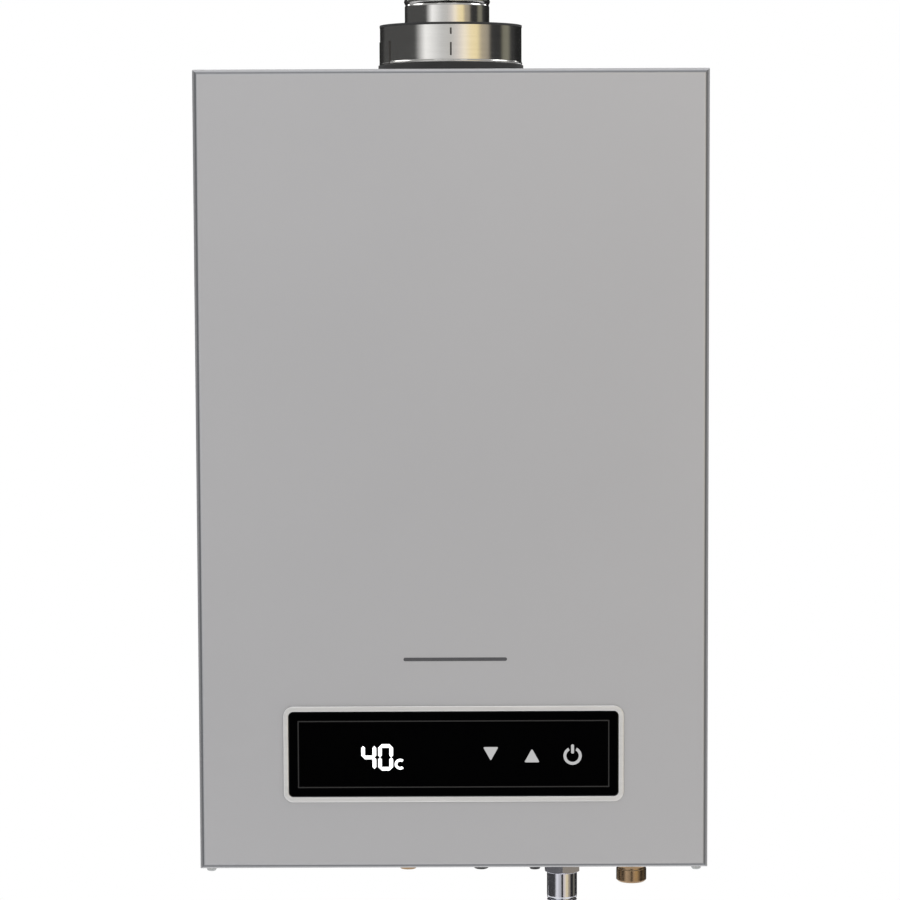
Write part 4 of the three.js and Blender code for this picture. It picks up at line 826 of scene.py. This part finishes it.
def thread(top, bottom, crest, pitch, depth):
    """Points down a threaded stretch: triangular ridges with a small flat at crest and root."""
    starts = np.arange(round((top - bottom) / pitch)) * pitch
    ridge = np.array([(0, 0), (0.12, 0), (0.5, 1), (0.62, 1)])
    z = top - (starts[:, None] + ridge[None, :, 0] * pitch)
    radius = crest - ridge[None, :, 1] * depth + 0 * z
    return np.stack([radius.ravel(), z.ravel()], 1)


x, y, low_z, high_z, radius = axis_of("hot_outlet_nipple")
NIPPLE_BORE = 8 * MM
THREAD_PITCH = 1.8 * MM
THREAD_DEPTH = 1.1 * MM
thread_top = low_z + 19.4 * MM
crest = radius - 0.15 * MM
nipple_profile = np.concatenate([
    [(NIPPLE_BORE, low_z), (8.6 * MM, low_z), (9.4 * MM, low_z + 1 * MM)],
    thread(thread_top - 1.4 * MM, low_z + 1.6 * MM, crest, THREAD_PITCH, THREAD_DEPTH)[::-1],
    [(crest, thread_top - 0.4 * MM), (radius, thread_top + 0.1 * MM)],
    [(radius, high_z), (NIPPLE_BORE, high_z)],
])
link("hot_nipple", turned(nipple_profile, x, y), BRIGHT_CHROME, "heater", "hot_outlet_nipple")

x, y, low_z, high_z, radius = axis_of("hot_outlet_nut")


def hexagon_nut(x, y, low, high, across_flats, bore, chamfer):
    """A hexagonal prism, flats facing sideways, whose corners are cut by a cone at each end."""
    corners = [(x + across_flats / math.sqrt(3) * math.sin(k * math.pi / 3),
                y + across_flats / math.sqrt(3) * math.cos(k * math.pi / 3)) for k in range(6)]
    reach = across_flats / math.sqrt(3)
    cone = turned([(0.0001, low), (reach - chamfer * 1.7, low), (reach + 0.1 * MM, low + chamfer),
                   (reach + 0.1 * MM, high - chamfer), (reach - chamfer * 1.7, high), (0.0001, high)], x, y)
    return combined(combined(prism(corners, 2, low, high), "INTERSECT", cone), "DIFFERENCE",
                    prism(circle(x, y, bore, 64), 2, low - PAST, high + PAST))


NUT_FLATS = 24 * MM
NUT_BORE = 10.9 * MM
NUT_CHAMFER = 1.5 * MM
nut_mesh = hexagon_nut(x, y, low_z, high_z, NUT_FLATS, NUT_BORE, NUT_CHAMFER)
nut = link("hot_union_nut", nut_mesh, BRIGHT_CHROME, "heater", "hot_outlet_nut")
softened(nut, 0.3 * MM)

x, y, low_z, high_z, radius = axis_of("cold_inlet_fitting")
COLD_BORE = 7.8 * MM
groove = radius - 0.5 * MM
cold_profile = rounded_profile([
    (COLD_BORE, low_z), (radius - 1.2 * MM, low_z), (radius, low_z + 1.2 * MM), (radius, low_z + 9 * MM),
    (groove, low_z + 9.6 * MM), (groove, low_z + 11 * MM), (radius, low_z + 11.6 * MM),
    (radius, high_z), (COLD_BORE, high_z),
], 0.3 * MM, 2)
link("cold_fitting", turned(cold_profile, x, y), TURNED_BRASS, "heater", "cold_inlet_fitting")

x, y, low_z, high_z, radius = axis_of("gas_inlet_tail")
barb_tops = low_z + np.array([5.0, 9.5, 14.0]) * MM
barbs = np.stack([np.stack([np.full(3, radius), barb_tops], 1),
                  np.stack([np.full(3, radius - 1.0 * MM), barb_tops + 0.4 * MM], 1)], 1).reshape(-1, 2)
GAS_BORE = 4 * MM
tail_profile = np.concatenate([[(GAS_BORE, low_z), (radius - 1.2 * MM, low_z)], barbs,
                               [(radius, low_z + 16.6 * MM), (radius, high_z), (GAS_BORE, high_z)]])
tail_mesh = turned(rounded_profile(tail_profile, 0.25 * MM, 2), x, y)
link("gas_hose_tail", tail_mesh, TURNED_BRASS, "heater", "gas_inlet_tail")

x, y, low_z, high_z, radius = axis_of("drain_knob")


def ribbed_knob(x, y, low, top, radius, ribs, depth):
    """A knob whose plan is a circle with cosine flutes, rounded over at its lower rim."""
    turn = np.linspace(0, 2 * np.pi, ribs * 12, endpoint=False)
    flute = depth * (0.5 - 0.5 * np.cos(ribs * turn)) ** 2
    levels = [(0.02, low), (0.72, low), (0.93, low + 0.5 * MM), (1.0, low + 1.6 * MM),
              (1.0, top - 0.6 * MM), (0.9, top), (0.02, top)]
    rings = []
    for share, z in levels:
        reach = share * radius - flute * (share > 0.9)
        rings.append(np.stack([x + reach * np.cos(turn), y + reach * np.sin(turn), z + 0 * turn], 1))
    return tube_of(np.array(rings))


knob_mesh = ribbed_knob(x, y, low_z, low_z + 14.8 * MM, radius, 12, 0.9 * MM)
stem = prism(circle(x, y, 4.15 * MM), 2, low_z + 13.5 * MM, high_z)
link("drain_grip", combined(knob_mesh, "UNION", stem), BLACK_PLASTIC, "drain_knob", "drain_knob")

x, y, low_z, high_z, radius = axis_of("cable_gland")
GLAND_BORE = 2.6 * MM
GLAND_NECK = 4.4 * MM
GLAND_WAIST = 4.1 * MM
flange_low, flange_high = low_z + 14.2 * MM, low_z + 19.4 * MM
gland_profile = rounded_profile([
    (GLAND_BORE, low_z), (3.4 * MM, low_z), (GLAND_NECK, low_z + 2.0 * MM), (GLAND_NECK, low_z + 9.6 * MM),
    (GLAND_WAIST, low_z + 10 * MM), (GLAND_WAIST, low_z + 10.8 * MM), (GLAND_NECK, low_z + 11.2 * MM),
    (GLAND_NECK, flange_low), (radius, flange_low), (radius, flange_high), (GLAND_NECK, flange_high),
    (GLAND_NECK, high_z), (GLAND_BORE, high_z),
], 0.3 * MM)
link("cable_entry", turned(gland_profile, x, y, 96), BLACK_PLASTIC, "heater", "cable_gland")

# ---- Cover screws ----
# Knurled, slotted thumb screws of zinc-plated steel, held captive in the cover's lower return.


def zinc_plate(place):
    """Bright zinc plate on steel, faintly mottled, with a soft grain."""
    spangle = place.node("ShaderNodeTexVoronoi", {}, {"Vector": place, "Scale": 150.0}, output=1)
    tone = place.node("ShaderNodeRGBToBW", {}, {0: spangle})
    grain = place.noise(800, 3)
    return {
        "Base Color": (tone * 0.3 + grain * 0.7).between((0.43, 0.445, 0.45), (0.53, 0.54, 0.55)),
        "Metallic": 0.9,
        "Roughness": 0.36 + tone * 0.06,
        "Normal": grain.bump(0.05, 0.00006),
    }


ZINC_PLATE = material(zinc_plate)
for side in ("left", "right"):
    x, y, low_z, high_z, radius = axis_of(f"cover_screw_{side}")
    head = ribbed_knob(x, y, low_z, low_z + 4.3 * MM, radius, 16, 0.35 * MM)
    slot = slab((x - 5 * MM, x + 5 * MM), (y - 0.5 * MM, y + 0.5 * MM), (low_z - 1 * MM, low_z + 1 * MM))
    shank = prism(circle(x, y, 2 * MM, 32), 2, low_z + 3 * MM, high_z)
    screw_mesh = combined(combined(head, "UNION", shank), "DIFFERENCE", slot)
    link(f"captive_screw_{side}", screw_mesh, ZINC_PLATE, "cover", f"cover_screw_{side}")

# ---- Chassis, bracket and seals ----
# Folded zinc-coated sheet: the back tray, bottom plate, wall rail and fan housing. The top
# plate shows round the flue, so it is painted like the cover. Spacers and seal are rubber.


def dressed(node, finish, edge=0.3 * MM):
    """Gives a CAD node its finish, and softens its edges where edge is more than nothing."""
    piece = frame["nodes"][node]
    piece.data.materials.clear()
    piece.data.materials.append(finish)
    piece.modifiers.new("weld", "WELD").merge_threshold = 1e-6
    piece.data.polygons.foreach_set("use_smooth", np.ones(len(piece.data.polygons), bool))
    split = piece.modifiers.new("crease", "EDGE_SPLIT")
    split.split_angle = SMOOTH_BELOW
    if edge:
        piece.modifiers.remove(split)
        softened(piece, edge, 2)
    return piece


for node in ("wall_bracket", "chassis_back", "bottom_plate", "burner_tray", "flue_hood", "fan_scroll",
             "fan_scroll_cover"):
    dressed(node, ZINC_PLATE)
dressed("top_plate", SILVER_PAINT)
for node in ("lower_spacer_left", "lower_spacer_right", "cover_seal"):
    dressed(node, BLACK_RUBBER, 0.5 * MM)

# ---- Burner and heat exchanger ----
# Pressed stainless burner blades stand in a tray under a copper chamber. A copper tube winds
# round the chamber, then passes four times through the fins at its top.


def worn_copper(place):
    """Copper that has been brazed and has darkened unevenly."""
    stain = place.noise(28, 5)
    streak = place.noise(90, 3, (1, 1, 0.25))
    return {
        "Base Color": (stain * 0.7 + streak * 0.3).between((0.30, 0.12, 0.07), (0.78, 0.40, 0.25)),
        "Metallic": 1.0,
        "Roughness": 0.22 + stain * 0.28,
        "Normal": streak.bump(0.06, 0.0003),
    }


def burner_sheet(place):
    """Stainless burner sheet with straw heat tints in patches."""
    patches = place.noise(35, 4)
    return {
        "Base Color": patches.between((0.34, 0.30, 0.27), (0.56, 0.54, 0.50)),
        "Metallic": 1.0,
        "Roughness": 0.3 + patches * 0.2,
    }


def cast_aluminium(place):
    """Die-cast aluminium: matt, pebbled skin with slight shading."""
    pebble = place.noise(700, 4)
    return {
        "Base Color": place.noise(25, 4).between((0.36, 0.37, 0.38), (0.46, 0.47, 0.48)),
        "Metallic": 0.85,
        "Roughness": 0.45 + pebble * 0.2,
        "Normal": pebble.bump(0.25, 0.00015),
    }


def glazed_ceramic(place):
    """Off-white glazed insulator."""
    speck = place.noise(500, 3)
    glaze = speck.between((0.72, 0.68, 0.60), (0.80, 0.77, 0.70))
    return {"Base Color": glaze, "Roughness": 0.25, "Coat Weight": 0.4}


WORN_COPPER = material(worn_copper)
BURNER_SHEET = material(burner_sheet)
CAST_ALUMINIUM = material(cast_aluminium)
GLAZED_CERAMIC = material(glazed_ceramic)
for index in range(1, 7):
    dressed(f"burner_blade_{index}", BURNER_SHEET)
for node in ("heat_exchanger_shell", "fin_block"):
    dressed(node, WORN_COPPER)
for node in ("fin_tubes", "water_coil", "cold_pipe", "hot_pipe"):
    pipe = dressed(node, WORN_COPPER, 0)
    pipe.modifiers.remove(pipe.modifiers["crease"])
    rounding = pipe.modifiers.new("rounding", "SUBSURF")
    rounding.levels = 2
    rounding.render_levels = 2
dressed("gas_manifold", CAST_ALUMINIUM)
dressed("gas_valve_body", CAST_ALUMINIUM, 0.8 * MM)
for node in ("spark_electrode", "flame_sensor"):
    dressed(node, GLAZED_CERAMIC)

# ---- Fan ----
# A drum impeller on a steel shaft, driven by a motor that hangs on four posts from the
# housing's front plate. It draws the flue gas up and pushes it into the exhaust pipe.


def plain_steel(place):
    """Ground steel with fine marks."""
    marks = place.noise(900, 3, (1, 0.1, 1))
    tone = marks.between((0.30, 0.31, 0.32), (0.42, 0.43, 0.44))
    return {"Base Color": tone, "Metallic": 1.0, "Roughness": 0.25 + marks * 0.15}


PLAIN_STEEL = material(plain_steel)
dressed("fan_motor", BLACK_PLASTIC, 0.8 * MM)
dressed("fan_shaft", PLAIN_STEEL, 0.3 * MM)
dressed("fan_impeller", CAST_ALUMINIUM, 0)

# ---- Gas shut-off ----
# A solenoid on the gas valve lifts a steel plunger against a wire spring to open the gas.

dressed("shutoff_coil", BLACK_PLASTIC, 1.0 * MM)
dressed("shutoff_plunger", PLAIN_STEEL, 0.2 * MM)
spring_low, spring_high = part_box("plunger_spring")


def rod_of(rings):
    """A skin over rings of equal point counts, closed round them, with a face at each end."""
    rows, sides = rings.shape[:2]
    index = np.arange(rows * sides).reshape(rows, sides)
    beside = np.roll(index, -1, axis=1)
    quads = np.stack([index[:-1], beside[:-1], beside[1:], index[1:]], 2).reshape(-1, 4)
    return mesh_of(rings.reshape(-1, 3), quads.tolist() + [index[0].tolist(), index[-1].tolist()])


def wound_spring(low, high, wire, turns, steps=240, sides=10):
    """A wire circle carried along a helix whose height is even along its length. The wire's
    section lies in the plane of the outward and upward directions, which is nearly across it."""
    along = np.linspace(0, 1, steps)
    turn = 2 * np.pi * turns * along
    x, y = (low[0] + high[0]) / 2, (low[1] + high[1]) / 2
    reach = (high[0] - low[0]) / 2 - wire
    outward = np.stack([np.cos(turn), np.sin(turn), 0 * turn], 1)
    height = low[2] + wire + (high[2] - low[2] - 2 * wire) * along
    spine = np.stack([x + 0 * turn, y + 0 * turn, height], 1) + reach * outward
    section = np.linspace(0, 2 * np.pi, sides, endpoint=False)[None, :, None]
    around = np.cos(section) * outward[:, None] + np.sin(section) * np.array([0, 0, 1])
    return rod_of(spine[:, None] + wire * around)


SPRING_WIRE = 0.45 * MM
SPRING_TURNS = 5
spring_mesh = wound_spring(spring_low, spring_high, SPRING_WIRE, SPRING_TURNS)
spring = link("return_spring", spring_mesh, PLAIN_STEEL, "heater", "plunger_spring")
lift = next(joint for joint in frame["joints"] if joint["name"] == "gas_plunger_lift")
spring_keep = 1 - lift["range_m"][1] / (spring_high[2] - spring_low[2])
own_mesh(spring)

# ---- Water side ----
# Forged brass bodies with the flow rotor and the inlet filter inside them.


def white_plastic(place):
    """Natural white moulding."""
    tone = place.noise(40, 3).between((0.70, 0.70, 0.66), (0.78, 0.78, 0.75))
    return {"Base Color": tone, "Roughness": 0.4}


def blue_plastic(place):
    """Blue moulded rotor."""
    tone = place.noise(60, 3).between((0.03, 0.10, 0.27), (0.05, 0.14, 0.34))
    return {"Base Color": tone, "Roughness": 0.35}


WHITE_PLASTIC = material(white_plastic)
BLUE_PLASTIC = material(blue_plastic)
dressed("water_valve_body", TURNED_BRASS, 0.8 * MM)
dressed("drain_cock_body", TURNED_BRASS, 0.6 * MM)
dressed("flow_rotor", BLUE_PLASTIC, 0)
dressed("inlet_filter", WHITE_PLASTIC, 0)

# ---- Electrics ----
# The control box with its board, the transformer, the spark generator, the air-pressure
# switch and the overheat thermostat; behind the glass, the display board in its tray.


def grey_plastic(place):
    """Grey moulded box."""
    grain = place.noise(1200, 2)
    return {
        "Base Color": place.noise(20, 3).between((0.22, 0.23, 0.24), (0.27, 0.28, 0.29)),
        "Roughness": 0.45 + grain * 0.12,
        "Normal": grain.bump(0.15, 0.00008),
    }


def circuit_board(place):
    """Green solder mask with paler tracks."""
    tracks = place.node("ShaderNodeTexBrick", {}, {"Vector": place, "Scale": 160.0}, output=1)
    mask = tracks.between((0.012, 0.09, 0.03), (0.03, 0.16, 0.06))
    return {"Base Color": mask, "Roughness": 0.35, "Coat Weight": 0.3}


GREY_PLASTIC = material(grey_plastic)
CIRCUIT_BOARD = material(circuit_board)
for node in ("control_box_base", "control_box_lid"):
    dressed(node, GREY_PLASTIC, 0.8 * MM)
for node in ("main_board", "display_board"):
    dressed(node, CIRCUIT_BOARD, 0.2 * MM)
dressed("transformer", PLAIN_STEEL, 0.8 * MM)
dressed("spark_generator", BLACK_PLASTIC, 1.0 * MM)
dressed("air_pressure_switch", WHITE_PLASTIC, 0.8 * MM)
dressed("overheat_thermostat", PLAIN_STEEL, 0.3 * MM)
dressed("display_housing", BLACK_PLASTIC, 0.4 * MM)

# ---- Leads and hose ----
# Leads sleeved in silicone or plastic: ignition and flame leads, the fan's cable, and the
# thermostat's and the gas solenoid's pairs. The air-pressure switch has a silicone hose.


def cable(name, points, radius, finish, steps=12, sides=10):
    """A round lead through the given points, in millimetres above the underside of the casing.
    It follows a Catmull-Rom curve, and each ring lies across the curve's direction there."""
    knots = np.asarray(points, float) * MM
    knots[:, 2] += casing_low[2]
    knots = np.concatenate([[2 * knots[0] - knots[1]], knots, [2 * knots[-1] - knots[-2]]])
    t = np.linspace(0, 1, steps, endpoint=False)[None, :, None]
    a, b, c, d = (knots[k:len(knots) - 3 + k, None] for k in range(4))
    bend, twist = 2 * a - 5 * b + 4 * c - d, 3 * b - a - 3 * c + d
    curve = 0.5 * (2 * b + (c - a) * t + bend * t ** 2 + twist * t ** 3)
    curve = np.concatenate([curve.reshape(-1, 3), knots[-2:-1]])
    along = np.gradient(curve, axis=0)
    along /= np.linalg.norm(along, axis=1)[:, None]
    side = np.cross(along, (0.36, -0.48, 0.8))
    side /= np.linalg.norm(side, axis=1)[:, None]
    over = np.cross(along, side)
    turn = np.linspace(0, 2 * np.pi, sides, endpoint=False)[:, None]
    rings = curve[:, None] + radius * (np.cos(turn) * side[:, None] + np.sin(turn) * over[:, None])
    return link(name, rod_of(rings), finish, "heater")


def red_silicone(place):
    """Dull red silicone sleeve, slightly chalky."""
    tone = place.noise(80, 3).between((0.34, 0.035, 0.025), (0.44, 0.06, 0.045))
    return {"Base Color": tone, "Roughness": 0.55}


def clear_hose(place):
    """Milky silicone hose."""
    tone = place.noise(120, 3).between((0.62, 0.61, 0.56), (0.70, 0.69, 0.64))
    return {"Base Color": tone, "Roughness": 0.3, "Coat Weight": 0.2}


RED_SILICONE = material(red_silicone)
CLEAR_HOSE = material(clear_hose)
IGNITION_LEAD = 2.4 * MM
FLAME_LEAD = 1.8 * MM
FAN_CABLE = 2.2 * MM
THIN_LEAD = 1.1 * MM
HOSE = 3.4 * MM
cable("ignition_lead", [
    (155.8, -80, 198), (155.8, -96, 196), (148, -128, 184), (118, -153, 176), (50, -154, 175),
    (-10, -154, 177), (-28, -153, 182), (-30, -147, 184),
], IGNITION_LEAD, RED_SILICONE)
cable("flame_lead", [
    (30, -147, 184), (27, -153, 182), (10, -155, 168), (-60, -153, 166), (-122, -128, 168),
    (-143, -90, 172), (-146, -60, 180), (-146, -55, 192),
], FLAME_LEAD, CLEAR_HOSE)
cable("fan_cable", [
    (-8, -132, 462), (-20, -134, 458), (-60, -136, 442), (-116, -122, 420), (-142, -80, 388),
    (-144, -58, 365), (-144, -52, 350),
], FAN_CABLE, BLACK_PLASTIC)
for index, shift in enumerate((-2.2, 2.2)):
    cable(f"thermostat_lead_{index + 1}", [
        (60 + shift, -148, 338.4), (59 + shift, -153, 332), (30, -153, 322 + shift),
        (-60, -152, 318 + shift), (-124, -136, 330 + shift), (-152, -96, 350 + shift),
        (-154 + shift, -62, 362), (-154 + shift, -55, 351),
    ], THIN_LEAD, RED_SILICONE if index else BLACK_PLASTIC)
    cable(f"solenoid_lead_{index + 1}", [
        (-58, -77 + shift, 92), (-70, -77 + shift, 94), (-108, -72 + shift, 104), (-140 + shift, -62, 140),
        (-140 + shift, -50, 176), (-140 + shift, -46, 192),
    ], THIN_LEAD, BLACK_PLASTIC)
cable("pressure_hose", [
    (120, -44, 476), (120, -62, 477), (114, -78, 486), (96, -84, 497), (76, -84, 500), (58, -84, 494),
], HOSE, CLEAR_HOSE)

# ---- Small screws inside ----
# Zinc-plated pan-head screws with a cross recess, which hold the sheet pieces together.


def pan_head(name, x, z, face, radius):
    """A domed head on a sheet that faces forwards: half an ellipse turned about a line from
    front to back, with a cross cut into it. Sizes are in millimetres, and z is measured from
    the underside of the casing."""
    rise = 0.55 * radius
    turn = np.radians(np.linspace(0, 90, 9))
    dome = [(radius * math.cos(a), rise * math.sin(a)) for a in turn[:-1]]
    profile = [(0.02, -0.2)] + [(radius, -0.2)] + dome + [(0.02, rise)]
    steps = np.linspace(0, 2 * np.pi, 28, endpoint=False)
    reach, height = np.array(profile).T[:, :, None] * MM
    level = face * MM - height + 0 * steps
    rings = np.stack([x * MM + reach * np.cos(steps), level,
                      z * MM + casing_low[2] + reach * np.sin(steps)], 2)
    head = tube_of(rings)
    arm, half = radius * 0.55 * MM, 0.16 * radius * MM
    front_level, low_level = (face - rise - 1) * MM, (face - rise * 0.5) * MM
    middle = z * MM + casing_low[2]
    upright = slab((x * MM - half, x * MM + half), (front_level, low_level), (middle - arm, middle + arm))
    across = slab((x * MM - arm, x * MM + arm), (front_level, low_level), (middle - half, middle + half))
    return link(name, combined(head, "DIFFERENCE", upright, across), ZINC_PLATE, "heater")


lid_low, lid_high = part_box("control_box_lid")
LID_INSET = 7
lid_corners = [(x, z) for z in (lid_low[2], lid_high[2]) for x in (lid_low[0], lid_high[0])]
for index, (x, z) in enumerate(lid_corners):
    across = x / MM + (LID_INSET if x == lid_low[0] else -LID_INSET)
    above = (z - casing_low[2]) / MM + (LID_INSET if z == lid_low[2] else -LID_INSET)
    pan_head(f"lid_screw_{index + 1}", across, above, lid_low[1] / MM, 3.2)
for node in ("spark_electrode", "flame_sensor"):
    low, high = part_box(node)
    for side, x in (("left", low[0] / MM + 2.6), ("right", high[0] / MM - 2.6)):
        pan_head(f"{node}_screw_{side}", x, (low[2] + high[2]) / 2 / MM - casing_low[2] / MM, -133, 1.9)
SCROLL_SCREW_CIRCLE = 44
plate_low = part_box("fan_scroll_cover")[0]
wheel_low, wheel_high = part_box("fan_impeller")
wheel_x, wheel_z = (wheel_low[k] / 2 + wheel_high[k] / 2 for k in (0, 2))
for index, turn_degrees in enumerate((-150, -90, -30, 30)):
    x = wheel_x / MM + SCROLL_SCREW_CIRCLE * math.cos(math.radians(turn_degrees))
    z = (wheel_z - casing_low[2]) / MM + SCROLL_SCREW_CIRCLE * math.sin(math.radians(turn_degrees))
    pan_head(f"scroll_screw_{index + 1}", x, z, plate_low[1] / MM, 2.8)
hood_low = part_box("flue_hood")[0]
for index, x in enumerate((-86, -30, 30, 86)):
    pan_head(f"hood_screw_{index + 1}", x, (hood_low[2] - casing_low[2]) / MM + 6.5, hood_low[1] / MM, 2.4)
back_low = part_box("chassis_back")[0]
FLANGE_X = 168
flange_points = [(x, z) for x in (-FLANGE_X, FLANGE_X) for z in (60, 270, 480)]
for index, (x, z) in enumerate(flange_points):
    pan_head(f"flange_screw_{index + 1}", x, z, back_low[1] / MM, 1.9)
